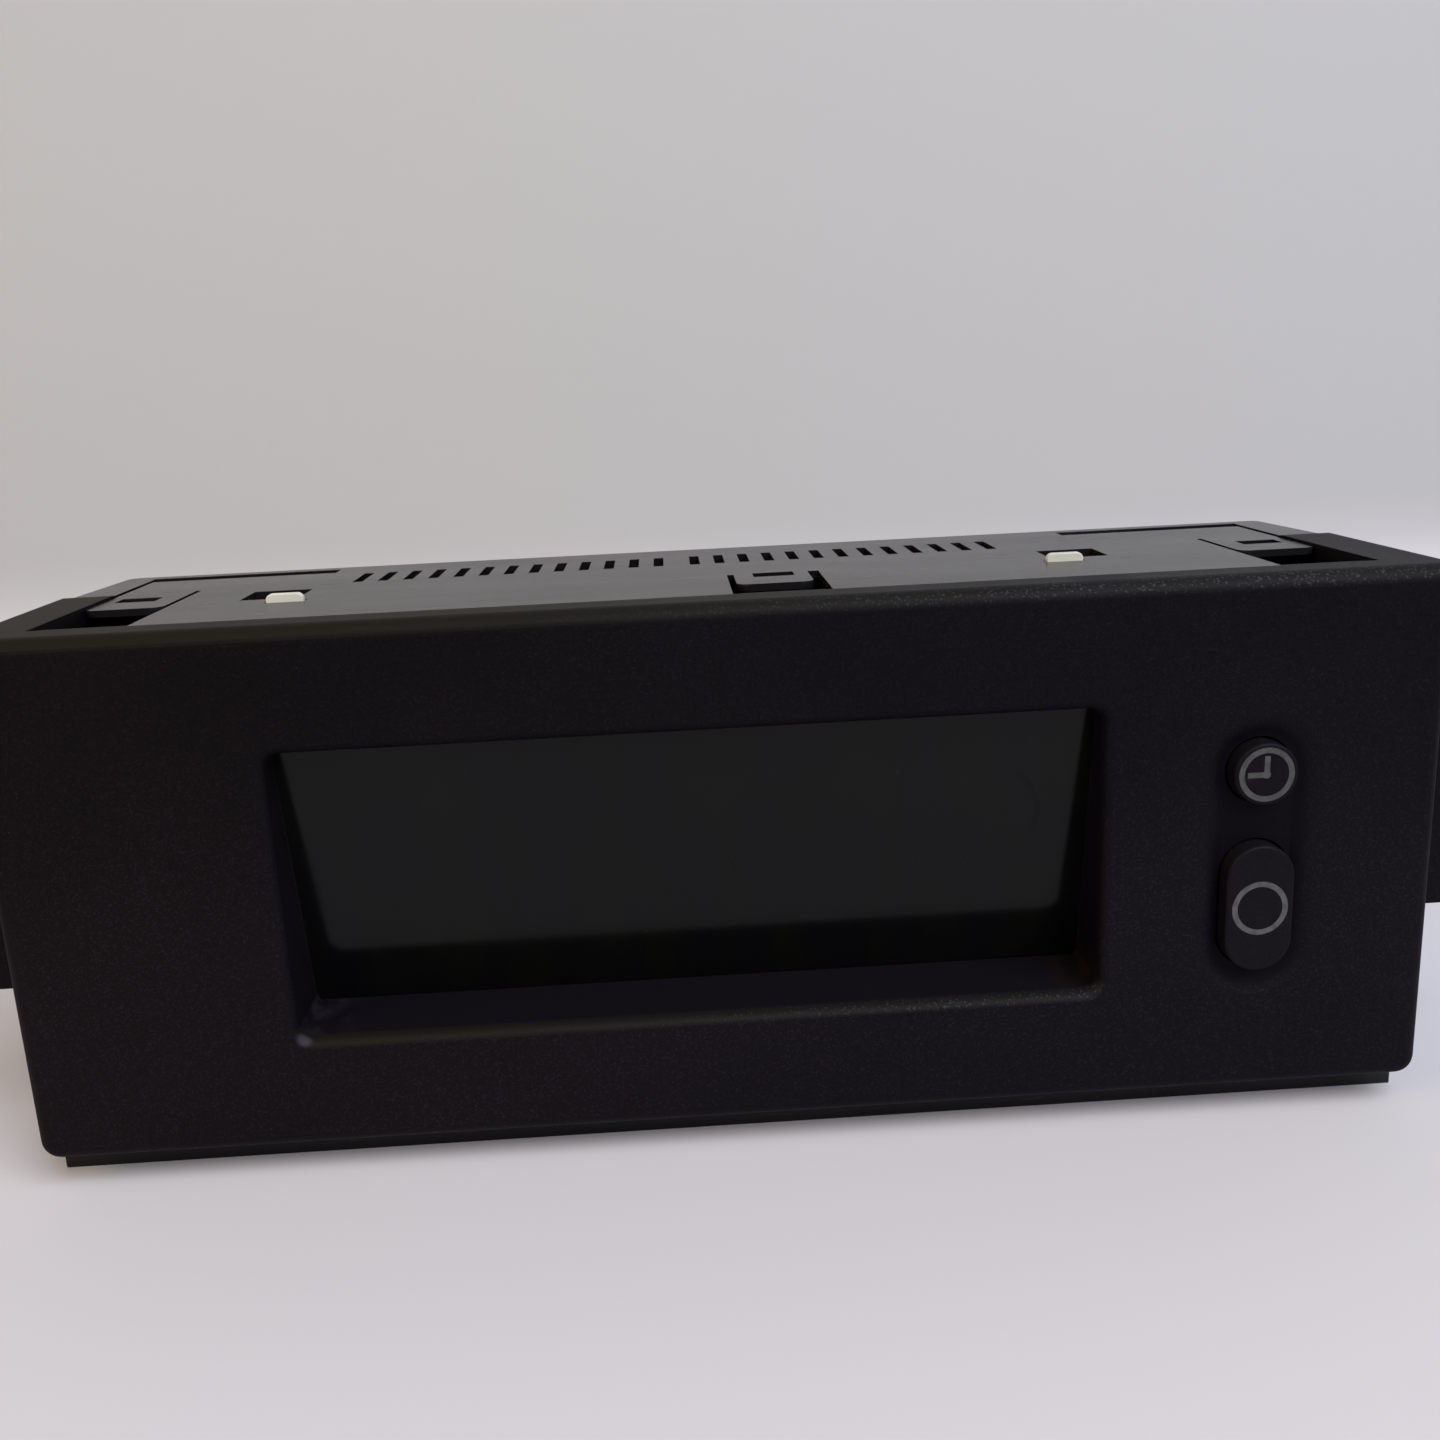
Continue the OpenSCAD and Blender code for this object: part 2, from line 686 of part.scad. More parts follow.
// Radius, length, X and Z of each can, measured from the display's centre height
cans = [[4, 10, -2, 14], [4, 10, -12, 14], [3.15, 7.7, -22, 15], [3.15, 7.7, 46, -4]];
can_rim = 0.2;

module capacitors() {
    base = 1;
    color("#c3c5c8") seat() for (can = cans) translate([can[2], board_back, window_mid + can[3]]) {
        slab(0, base) box_2d(2 * (can[0] + can_rim), 2 * (can[0] + can_rim));
        translate([0, base - eps, 0]) back_axis() cylinder(r = can[0], h = can[1] - base);
    }
}

regulator_x = 27;
regulator_drop = 9;
regulator_z = board_top - regulator_drop;
regulator_d = 4.5;
regulator_w = 10;
regulator_h = 9;

module regulator() {
    color("#1f1f1f") seat() translate([regulator_x, 0, regulator_z])
        slab(board_back, board_back + regulator_d) box_2d(regulator_w, regulator_h);
}

module heat_sink() {
    sink_w = 32;
    sink_h = 12;
    sink_t = 1.2;
    sink_y = board_back + regulator_d;
    color("#aeb1b4") seat() translate([regulator_x, 0, regulator_z]) difference() {
        slab(sink_y, rear_y - 2) box_2d(sink_w, sink_h);
        slab(sink_y + sink_t, rear_y) box_2d(sink_w + 1, sink_h - 2 * sink_t);
    }
}

crystal_w = 11;
crystal_h = 4.6;
crystal_d = 3.5;
crystal_x = -6;
crystal_drop = 6;

module quartz_crystal() {
    color("#c9cbcd") seat() translate([crystal_x, board_back, window_mid - crystal_drop])
        slab(0, crystal_d) round_rect(crystal_w, crystal_h, crystal_h / 2 - 0.1);
}

resistor_w = 2;
resistor_h = 1.25;
resistor_d = 0.6;
resistor_pitch = 3.6;
resistor_row = 3;
resistor_x = -40;
resistor_rise = 5;

module chip_resistors() {
    color("#3a3a3c") seat() for (i = [0 : 5], k = [0 : 2])
        translate([resistor_x + resistor_pitch * i, board_back, board_low + resistor_rise + resistor_row * k])
            slab(0, resistor_d) box_2d(resistor_w, resistor_h);
}

head_r = 2.8;
head_t = 2;
drive_l = 3.2;
drive_w = 0.6;
drive_d = 1.1;
thread_l = 8;

module board_screws() {
    color("#b5b2a8") seat() board_holes() {
        translate([0, board_y - head_t, 0]) back_axis() difference() {
            cylinder(r = head_r, h = head_t);
            translate([0, 0, -eps]) for (turn = [0, 90]) rotate([0, 0, turn])
                translate([-drive_l / 2, -drive_w / 2, 0]) cube([drive_l, drive_w, drive_d]);
        }
        translate([0, board_y - eps, 0]) back_axis() cylinder(r = screw_r, h = board_t + thread_l);
    }
}

key_lamp_w = 2.8;
key_lamp_h = 3.2;
key_lamp_d = 1.4;
// The lamps stand midway between the light box and the switches
key_lamp_x = (window_x + box_w / 2 + key_x - switch_w / 2) / 2;

module button_leds() {
    color("#f2e7b0") seat() for (z = [clock_z, select_z])
        translate([key_lamp_x, 0, z]) slab(board_y - key_lamp_d, board_y) box_2d(key_lamp_w, key_lamp_h);
}

module switch_body() {
    well = switch_d - 0.8;
    color("#2a2a2c") seat() difference() {
        slab(switch_y, board_y) box_2d(switch_w, switch_w);
        translate([0, switch_y - 1, 0]) back_axis() cylinder(r = plunger_r + run_gap, h = well + 1);
    }
}

module clock_switch() { at_clock() switch_body(); }

module select_switch() { at_select() switch_body(); }

plunger_in = 0.9;

module plunger() {
    color("#d8d6cc") seat() translate([0, stem_end, 0]) back_axis()
        cylinder(r = plunger_r, h = plunger_out + plunger_in);
}

module clock_plunger() { at_clock() plunger(); }

module select_plunger() { at_select() plunger(); }

// The rubber dome is a thin cone that stands on the bottom of the switch's well
module dome() {
    top = switch_y + plunger_in;
    foot = board_y - 0.8;
    skin = 0.35;
    color("#7c7f84") seat() translate([0, top, 0]) back_axis() rotate_extrude() polygon([
        [0, 0], [plunger_r - 0.7, 0], [plunger_r - 0.05, foot - top],
        [plunger_r - 0.05 - skin, foot - top], [plunger_r - 0.7 - skin, skin], [0, skin]
    ]);
}

module clock_dome() { at_clock() dome(); }

module select_dome() { at_select() dome(); }

// Marks are drawn round a key's centre
module ring_outline(r, grow) {
    difference() {
        circle(r + mark_line / 2 + grow);
        circle(r - mark_line / 2 - grow);
    }
}

module clock_mark_outline(grow) {
    hand = clock_mark_r - mark_line / 2 - 0.3;
    ring_outline(clock_mark_r, grow);
    circle(0.42 + grow);
    translate([-mark_line / 2 - grow, 0]) square([mark_line + 2 * grow, hand + grow]);
    translate([-hand - grow, -mark_line / 2 - grow]) square([hand + grow, mark_line + 2 * grow]);
}

select_mark_shift = 0.1;

module clock_button() {
    color("#222024") seat() at_clock() difference() {
        union() {
            translate([0, -key_proud, 0])
                soft_key(2 * clock_key_r, 2 * clock_key_r, key_edge_r, key_proud + skirt_y + eps);
            slab(skirt_y, skirt_y + skirt_d) clock_outline(skirt_grow);
            translate([0, skirt_y + skirt_d - eps, 0]) back_axis()
                cylinder(r = stem_r, h = stem_end - skirt_y - skirt_d + eps);
        }
        slab(-key_proud - 1, mark_t - key_proud) clock_mark_outline(0);
    }
}

module clock_mark() {
    color("#8f9092") seat() at_clock() slab(-key_proud, mark_t - key_proud - mark_gap)
        clock_mark_outline(-mark_gap);
}

module select_button() {
    color("#222024") seat() at_select() difference() {
        union() {
            translate([0, -key_proud, 0])
                soft_key(select_key_w, select_key_h, key_edge_r, key_proud + skirt_y + eps);
            slab(skirt_y, skirt_y + skirt_d) select_outline(skirt_grow);
            translate([0, skirt_y + skirt_d - eps, 0]) back_axis()
                cylinder(r = stem_r, h = stem_end - skirt_y - skirt_d + eps);
        }
        slab(-key_proud - 1, mark_t - key_proud) translate([0, select_mark_shift]) ring_outline(mark_r, 0);
    }
}

module ring_mark() {
    color("#8f9092") seat() at_select() slab(-key_proud, mark_t - key_proud - mark_gap)
        translate([0, select_mark_shift]) ring_outline(mark_r, -mark_gap);
}

module pin_places() {
    for (i = [0 : pin_count - 1], z = [-pin_row, pin_row])
        translate([plug_x + (i - (pin_count - 1) / 2) * pin_pitch, 0, plug_z + z]) children();
}

module connector_shell() {
    color("#22304f") seat() difference() {
        translate([plug_x, 0, plug_z]) slab(board_back + 0.1, plug_back) box_2d(plug_w, plug_h);
        translate([plug_x, 0, plug_z]) slab(board_back + plug_floor, plug_back + 1)
            box_2d(plug_w - 2 * plug_t, plug_h - 2 * plug_t);
        pin_places() slab(board_back, board_back + plug_floor + 1) box_2d(pin_w + 0.02, pin_w + 0.02);
        for (x = [-8, 8]) translate([plug_x + x, 0, plug_z + plug_h / 2 - plug_t / 2])
            slab(plug_back - 6, plug_back + 1) box_2d(2.4, 2 * plug_t);
    }
}

module connector_pins() {
    color("#c9a648") seat() pin_places() slab(board_back, plug_back - 4.6) box_2d(pin_w, pin_w);
}

// Rounds a tongue's front corner on one side
module tongue_corner(side) {
    difference() {
        translate([side > 0 ? -tongue_r : -eps, -eps]) square(tongue_r + eps);
        translate([-side * tongue_r, tongue_r]) circle(tongue_r);
    }
}

// A latch's notch, the slits left and right of its tongue and its catch slot, drawn in X and Y
module latch_plan(x, w, shift, mouth, front, root, slits) {
    translate([x - w / 2, mouth]) square([w, front - mouth]);
    for (i = [0, 1]) {
        side = 2 * i - 1;
        if (slits[i] > 0) translate([x + side * (w - slits[i]) / 2 - slits[i] / 2, front - eps])
            square([slits[i], root - front]);
        translate([x + side * (w / 2 - slits[i]), front]) tongue_corner(side);
    }
    translate([x + shift - catch_w / 2, front + catch_back - catch_l / 2]) square([catch_w, catch_l]);
}

// A tongue is thin along its front
module tongue_undercut(x, w, front) {
    translate([x - w / 2, front - eps, plate_under - 1])
        cube([w, tongue_hollow + eps, housing_h - tongue_edge - plate_under + 1]);
}

// A corner latch's inner slit is short. Its outer edge is the cheek's gap, which goes on as a slit to the back.
module latch_cuts(mouth) {
    for (side = [-1, 1]) {
        slits = side > 0 ? [corner_slit, 0] : [0, corner_slit];
        latch_plan(side * latch_x, latch_w, side * corner_catch, mouth, corner_front, corner_root, slits);
        translate([side * (plate_half + side_slit / 2) - side_slit / 2, waist_end - 1])
            square([side_slit, strip_y + eps - waist_end + 1]);
    }
    latch_plan(centre_x, centre_w, 0, mouth, centre_front, centre_root, centre_slits);
}

vent_inset = 10.7;

// The row of vent slots is centred over the display
module vents() {
    vent_y = housing_d - vent_inset;
    for (side = [-1, 1], i = [0 : vent_count - 1])
        translate([window_x + side * (vent_gap / 2 + i * vent_pitch) - vent_w / 2, vent_y - vent_l / 2])
            square([vent_w, vent_l]);
}

// Shallow blank strips along the top's back edge, one at each corner
module top_strips() {
    for (side = [0, 1]) mirror([side, 0]) translate([plate_half + side_slit - strip_l, strip_y])
        square([strip_l, strip_d]);
}

module housing_shell() {
    difference() {
        union() {
            slab(shell_y, waist_end) {
                translate([-waist_half, 0]) square([2 * waist_half, plate_under]);
                translate([-plate_half, 0]) square([2 * plate_half, housing_h]);
                translate([-plinth_w / 2, 0]) square([plinth_w, plinth_h]);
            }
            linear_extrude(housing_h) {
                polygon([
                    [-shoulder_w / 2, waist_end - eps], [shoulder_w / 2, waist_end - eps],
                    [housing_w / 2, housing_d - rear_r], [-housing_w / 2, housing_d - rear_r]
                ]);
                translate([rear_r - housing_w / 2, housing_d - 2 * rear_r])
                    square([housing_w - 2 * rear_r, 2 * rear_r]);
                for (side = [-1, 1]) translate([side * (housing_w / 2 - rear_r), housing_d - rear_r])
                    circle(rear_r);
            }
        }
        slab(rim_d - 1, waist_end + wall + eps) translate([-inner_half, plinth_h])
            square([2 * inner_half, plate_under - plinth_h]);
        slab(shell_y + 1.6, waist_end + wall + eps) translate([-inner_half, wall])
            square([2 * inner_half, plinth_h]);
        slab(waist_end + wall, rear_y) translate([wall - housing_w / 2, wall])
            square([housing_w - 2 * wall, plate_under - wall]);
    }
}

module rear_housing() {
    slot_y = tab_y - gap;
    slot_w = tab_w + 2 * gap;
    slot_l = tab_t + 2 * gap;
    plug_gap = 2 * 0.3;
    color("#2e2d31") seat() difference() {
        union() {
            housing_shell();
            board_holes() translate([0, board_back, 0]) back_axis()
                cylinder(r = post_r, h = rear_y - board_back + 1);
        }
        board_holes() translate([0, board_back - 1, 0]) back_axis() cylinder(r = screw_r + 0.05, h = thread_l + 3);
        translate([0, 0, plate_under - 1]) linear_extrude(wall + 2) {
            latch_cuts(rim_d - 1);
            vents();
            for (side = [-1, 1]) {
                translate([window_x + side * tab_hole_x - tab_hole_w / 2, tab_hole_y])
                    square([tab_hole_w, tab_hole_l]);
                translate([window_x + side * tab_x - slot_w / 2, slot_y]) square([slot_w, slot_l]);
            }
        }
        for (x = [-latch_x, latch_x]) tongue_undercut(x, latch_w, corner_front);
        tongue_undercut(centre_x, centre_w, centre_front);
        translate([0, 0, housing_h - 0.3]) linear_extrude(1) top_strips();
        translate([0, 0, -1]) linear_extrude(wall + 2) {
            latch_cuts(notch_d);
            for (x = [-tab_x, tab_x]) translate([window_x + x - slot_w / 2, slot_y]) square([slot_w, slot_l]);
        }
        translate([plug_x, 0, plug_z]) slab(rear_y - 1, housing_d + 1) box_2d(plug_w + plug_gap, plug_h + plug_gap);
    }
}

front_bezel();
display_lens();
lens_tape();
light_shield();
lcd_frame();
lcd_glass();
lcd_polarisers();
contact_strips();
diffuser_sheet();
light_box();
backlight_leds();
main_board();
processor_chip();
driver_chips();
chip_leads();
capacitors();
regulator();
heat_sink();
quartz_crystal();
chip_resistors();
board_screws();
button_leds();
clock_switch();
select_switch();
clock_dome();
select_dome();
clock_plunger();
select_plunger();
clock_button();
clock_mark();
select_button();
ring_mark();
connector_shell();
connector_pins();
rear_housing();
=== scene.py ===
# %% [markdown]
# # A dash display unit, dressed for its picture
# The object is the small display that sits on top of a car's dash: a textured black bezel with a deep
# window and two keys, clipped onto a satin black housing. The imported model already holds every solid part
# at its real size. This script gives each part the surface that a moulder, a plater or a printer would give
# it, and sets up a plain pale studio.

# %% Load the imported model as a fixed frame
import json
import math

import bmesh
import bpy
import numpy as np
from mathutils import Matrix, Vector


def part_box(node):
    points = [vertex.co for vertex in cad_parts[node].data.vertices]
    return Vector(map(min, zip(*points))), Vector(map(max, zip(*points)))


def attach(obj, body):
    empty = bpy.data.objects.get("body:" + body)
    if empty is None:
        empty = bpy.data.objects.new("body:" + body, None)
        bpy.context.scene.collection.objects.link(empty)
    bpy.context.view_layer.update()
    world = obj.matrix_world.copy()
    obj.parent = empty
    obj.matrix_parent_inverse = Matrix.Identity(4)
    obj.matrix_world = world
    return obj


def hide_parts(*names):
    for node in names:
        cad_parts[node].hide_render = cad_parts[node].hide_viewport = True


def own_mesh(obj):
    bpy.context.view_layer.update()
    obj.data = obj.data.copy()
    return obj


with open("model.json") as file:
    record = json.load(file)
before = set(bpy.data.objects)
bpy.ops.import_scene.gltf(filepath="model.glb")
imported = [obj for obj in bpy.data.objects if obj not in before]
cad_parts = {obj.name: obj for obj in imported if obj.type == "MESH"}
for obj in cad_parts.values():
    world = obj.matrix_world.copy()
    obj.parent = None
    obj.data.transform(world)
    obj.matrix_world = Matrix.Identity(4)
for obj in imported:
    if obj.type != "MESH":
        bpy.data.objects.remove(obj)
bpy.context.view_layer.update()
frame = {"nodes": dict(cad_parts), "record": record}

MM = 0.001

# %% [markdown]
# ## The camera
# The picture was taken from very near, a hand's width in front of the unit and a little above it, so the
# perspective is strong. Blender's camera looks along its own minus Z. Here its direction is built from three
# plain angles: how far it pans to the right, how far it tilts up, and how far it rolls. It looks down on the
# unit, so its tilt is below zero.

# %% Set up the camera
CAMERA_AT = Vector((-4.16, -157.15, 82.49)) * MM
PAN_RIGHT = math.radians(1.786)
TILT_UP = math.radians(-14.138)
ROLL = math.radians(-2.735)
FOCAL_LENGTH = 34.54
SENSOR_WIDTH = 36.0
NEAREST_SEEN = 0.005
FARTHEST_SEEN = 20.0


def camera_turn(pan, tilt, roll):
    """The camera's rotation: right, up and back are three unit vectors at right angles."""
    ahead = Vector((math.sin(pan) * math.cos(tilt), math.cos(pan) * math.cos(tilt), math.sin(tilt)))
    level_right = Vector((math.cos(pan), -math.sin(pan), 0.0))
    level_up = level_right.cross(ahead)
    right = math.cos(roll) * level_right + math.sin(roll) * level_up
    up = math.cos(roll) * level_up - math.sin(roll) * level_right
    return Matrix((right, up, -ahead)).transposed().to_4x4()


def make_camera():
    """A camera placed in the unit's own frame. What lies between the two limits, in metres, is seen."""
    data = bpy.data.cameras.new("photo_camera")
    data.sensor_width = SENSOR_WIDTH
    data.lens = FOCAL_LENGTH
    data.clip_start = NEAREST_SEEN
    data.clip_end = FARTHEST_SEEN
    camera = bpy.data.objects.new("photo_camera", data)
    bpy.context.scene.collection.objects.link(camera)
    camera.matrix_world = Matrix.Translation(CAMERA_AT) @ camera_turn(PAN_RIGHT, TILT_UP, ROLL)
    bpy.context.scene.camera = camera
    return camera


photo_camera = make_camera()
print("camera at", [round(v / MM, 1) for v in photo_camera.location], "mm, lens", FOCAL_LENGTH, "mm")

# %% [markdown]
# ## Shader maths as plain expressions
# A material is a small graph of nodes. Wiring it by hand hides the idea behind it, so one class stands for a
# socket: adding or multiplying two of them adds the Math node that does it.

# %% A socket that can be reckoned with
class Wire:
    """The output of a node. Sums, differences and products of wires add the Math nodes they need."""

    def __init__(self, graph, socket):
        self.graph = graph
        self.socket = socket

    def maths(self, operation, *values):
        """One Math node on any values and wires."""
        return self.graph.add("ShaderNodeMath", {"operation": operation}, *values)

    def __add__(self, other):
        return self.maths("ADD", self, other)

    def __sub__(self, other):
        return self.maths("SUBTRACT", self, other)

    def __rsub__(self, other):
        return self.maths("SUBTRACT", other, self)

    def __mul__(self, other):
        return self.maths("MULTIPLY", self, other)

    __radd__ = __add__
    __rmul__ = __mul__

    def steps(self, low, high):
        """0 below low, 1 above high, and a soft slope between them."""
        settings = {"interpolation_type": "SMOOTHSTEP"}
        return self.graph.add("ShaderNodeMapRange", settings, self, low, high, 0.0, 1.0)

    def band(self, start, full, fade, end):
        """0 up to start, 1 from full to fade, 0 from end on, and soft slopes between them."""
        return self.steps(start, full) * (1.0 - self.steps(fade, end))

    def span(self, low, high):
        """Carries 0 to 1 over to low to high."""
        return self * (high - low) + low


print("wires can be added, subtracted and multiplied")

# %% [markdown]
# A second class holds the graph, of a material or of the world, and has the one method that adds any other
# node. The Mix node has a set of sockets for each kind of value under the same names, so the ones for
# colours are found by their places.

# %% A graph, and the one way to add a node to it
MIX_MASK = 0
MIX_FIRST = 6
MIX_SECOND = 7
MIX_COLOUR = 2


class Graph:
    """The nodes of a material or of the world."""

    def __init__(self, owner):
        owner.use_nodes = True
        self.tree = owner.node_tree

    def add(self, kind, settings, *values, output=0, **named):
        """Adds a node: its settings first, then the values or wires of its sockets."""
        node = self.tree.nodes.new(kind)
        for setting, value in settings.items():
            setattr(node, setting, value)
        for socket, value in [*enumerate(values), *named.items()]:
            if isinstance(socket, str):
                socket = socket.replace("_", " ")
            if isinstance(value, Wire):
                self.tree.links.new(value.socket, node.inputs[socket])
            else:
                node.inputs[socket].default_value = value
        return Wire(self, node.outputs[output])

    def blend(self, mask, first, second, way="MIX"):
        """Colour first where the mask is 0 and second, or first times second, where it is 1."""
        mixed = self.add("ShaderNodeMix", {"data_type": "RGBA", "blend_type": way}, output=MIX_COLOUR)
        sockets = mixed.socket.node.inputs
        self.tree.links.new(mask.socket, sockets[MIX_MASK])
        for index, colour in ((MIX_FIRST, first), (MIX_SECOND, second)):
            if isinstance(colour, Wire):
                self.tree.links.new(colour.socket, sockets[index])
            else:
                sockets[index].default_value = (*colour, 1.0)
        return mixed


print("a graph mixes colours through its sockets", MIX_FIRST, "and", MIX_SECOND)

# %% [markdown]
# A finish is a graph round one Principled shader. All its patterns read Object coordinates turned into
# millimetres, so that a number in a finish is the size of the grain on the real part. A shift only moves a
# pattern along, so that two patterns in one finish don't line up.

# %% A finish and its patterns
class Finish(Graph):
    """A material round one Principled shader. Numbers that don't vary sit on the shader's own sockets."""

    def __init__(self, name, colour, roughness, **even):
        self.material = bpy.data.materials.new(name)
        super().__init__(self.material)
        self.shader = self.tree.nodes["Principled BSDF"]
        self.shader.inputs["Base Color"].default_value = (*colour, 1.0)
        self.shader.inputs["Roughness"].default_value = roughness
        for socket, value in even.items():
            self.shader.inputs[socket.replace("_", " ")].default_value = value
        self.coordinates = self.add("ShaderNodeTexCoord", {}, output="Object")
        self.tone = colour

    def place(self, stretch=(1.0, 1.0, 1.0), shift=(0.0, 0.0, 0.0)):
        """Object coordinates in millimetres, stretched or moved if need be."""
        in_mm = tuple(s / MM for s in stretch)
        return self.add("ShaderNodeMapping", {}, Vector=self.coordinates, Scale=in_mm, Location=shift)

    def noise(self, size, detail=2.0, stretch=(1.0, 1.0, 1.0), shift=(0.0, 0.0, 0.0), rough=0.5):
        """Cloudy noise from 0 to 1 whose lumps are about size millimetres across."""
        return self.add("ShaderNodeTexNoise", {}, Vector=self.place(stretch, shift), Scale=1.0 / size,
                        Detail=detail, Roughness=rough)

    def specks(self, spacing, core, edge, shift):
        """1 on dots about spacing millimetres apart: full up to core and gone at edge, shares of spacing."""
        cells = self.add("ShaderNodeTexVoronoi", {}, Vector=self.place(shift=shift), Scale=1.0 / spacing)
        return 1.0 - cells.steps(core, edge)

    def attribute(self, name):
        """A number that the mesh carries for each of its faces."""
        return self.add("ShaderNodeAttribute", {"attribute_name": name}, output="Fac")

    def axis(self, letter):
        """One coordinate of the point, in millimetres."""
        return self.add("ShaderNodeSeparateXYZ", {}, Vector=self.place(), output="XYZ".index(letter))

    def away(self, point):
        """The distance from a point, both in millimetres."""
        settings = {"operation": "DISTANCE"}
        return self.add("ShaderNodeVectorMath", settings, self.place(), point, output="Value")

    def feed(self, socket, wire):
        """Lets a wire drive one of the shader's sockets."""
        self.tree.links.new(wire.socket, self.shader.inputs[socket])

    def paint(self, tone):
        """Lets a wire drive the colour, and keeps it for what is laid over it later."""
        self.tone = tone
        self.feed("Base Color", tone)

    def relief(self, height, depth):
        """Bumps as deep as depth millimetres, from a height of 0 to 1."""
        bump = self.add("ShaderNodeBump", {}, Strength=1.0, Distance=depth * MM, Height=height)
        self.feed("Normal", bump)


print("finishes count in millimetres, each", MM, "m long")

# %% [markdown]
# ## The studio
# A pale floor runs up into a pale wall behind the unit, as in the picture. It is one profile, a floor line,
# a quarter circle and a wall line, carried along X. The unit is black, so the wall matters: seen at such a
# low angle, the housing's top mirrors it. The sizes here are in metres.

# %% Sweep the floor and the wall
FLOOR_FRONT = -1.6
WALL_Y = 0.30
COVE_RADIUS = 0.02
COVE_STEPS = 17
WALL_TOP = 1.1
STUDIO_HALF = 1.6
STUDIO_COLUMNS = 9


def floor_profile():
    """Points (y, z) from the floor's front edge, round a quarter circle, up to the wall's top."""
    turn = np.linspace(-math.pi / 2, 0.0, COVE_STEPS)
    cove_y = WALL_Y - COVE_RADIUS + COVE_RADIUS * np.cos(turn)
    cove_z = COVE_RADIUS + COVE_RADIUS * np.sin(turn)
    y = np.concatenate(([FLOOR_FRONT], cove_y, [WALL_Y]))
    z = np.concatenate(([0.0], cove_z, [WALL_TOP]))
    return np.column_stack((y, z))


def grid_mesh(name, points):
    """A mesh of four-sided faces over a grid of points of shape (rows, columns, 3)."""
    rows, columns, _ = points.shape
    index = np.arange(rows * columns).reshape(rows, columns)
    faces = np.stack((index[:-1, :-1], index[:-1, 1:], index[1:, 1:], index[1:, :-1]), axis=-1)
    mesh = bpy.data.meshes.new(name)
    mesh.from_pydata(points.reshape(-1, 3), [], faces.reshape(-1, 4).tolist())
    mesh.shade_smooth()
    return mesh


def make_studio():
    """The profile repeated along X, facing up and towards the camera."""
    profile = floor_profile()
    along = np.linspace(-STUDIO_HALF, STUDIO_HALF, STUDIO_COLUMNS)
    points = np.zeros((len(profile), len(along), 3))
    points[..., 0] = along[None, :]
    points[..., 1] = profile[:, :1]
    points[..., 2] = profile[:, 1:]
    sheet = bpy.data.objects.new("floor_and_wall", grid_mesh("floor_and_wall", points))
    bpy.context.scene.collection.objects.link(sheet)
    return sheet


studio = make_studio()
print("floor and wall faces", len(studio.data.polygons))

# %% [markdown]
# The floor is a shade lighter and a little more purple than the wall. The paint turns from the one to the
# other over the wall's lowest few centimetres.

# %% Paint the floor and the wall
FLOOR_COLOUR = (0.655, 0.635, 0.690)
WALL_COLOUR = (0.498, 0.497, 0.508)
WALL_FADE = (1.0, 36.0)

painted = Finish("painted_studio", FLOOR_COLOUR, 0.75, Specular_IOR_Level=0.2)
painted.paint(painted.blend(painted.axis("Z").steps(*WALL_FADE), FLOOR_COLOUR, WALL_COLOUR))
studio.data.materials.append(painted.material)
print("the paint turns between", WALL_FADE[0], "and", WALL_FADE[1], "mm up")

# %% [markdown]
# ## The light
# Most of the light comes from one wide lamp above, in front and to the right. It reaches the floor right up
# to the unit's foot, so the contact shadow stays narrow, as in the picture. A small warm lamp on the left
# tints the shadow on that side. The camera doesn't see the lamps themselves.

# %% Hang two lamps
LAMP_AIM = Vector((0.0, 0.0, 0.03))
WIDE_AT = Vector((0.42, -0.70, 0.85))
WIDE_SIDE = 0.9
WIDE_POWER = 14.1
WIDE_COLOUR = (0.905, 0.945, 1.0)
WARM_AT = Vector((-0.55, -0.35, 0.40))
WARM_SIDE = 0.4
WARM_POWER = 1.6
WARM_COLOUR = (1.0, 0.72, 0.34)


def hang_lamp(name, place, side, power, colour):
    """A square lamp that faces the unit."""
    data = bpy.data.lights.new(name, "AREA")
    data.size = side
    data.energy = power
    data.color = colour
    lamp = bpy.data.objects.new(name, data)
    bpy.context.scene.collection.objects.link(lamp)
    lamp.location = place
    lamp.rotation_euler = (LAMP_AIM - place).to_track_quat("-Z", "Y").to_euler()
    lamp.visible_camera = False


hang_lamp("wide_lamp", WIDE_AT, WIDE_SIDE, WIDE_POWER, WIDE_COLOUR)
hang_lamp("warm_lamp", WARM_AT, WARM_SIDE, WARM_POWER, WARM_COLOUR)
print("lamps of", WIDE_POWER, "and", WARM_POWER, "W")

# %% [markdown]
# A dim world, warm on the left and cool on the right, fills the rest. With the lamps it brings a surface to
# about the colour that its material gives, so the near-black plastics stay near black. Past the ends of the
# wall the camera sees one plain pale grey in place of the world's two colours. A new world has a Background
# node already, which makes way for these two.

# %% Set the world
WORLD_LEFT = (0.78, 0.66, 0.44)
WORLD_RIGHT = (0.54, 0.62, 0.80)
WORLD_STRENGTH = 0.45
BACKDROP = (0.50, 0.49, 0.50)

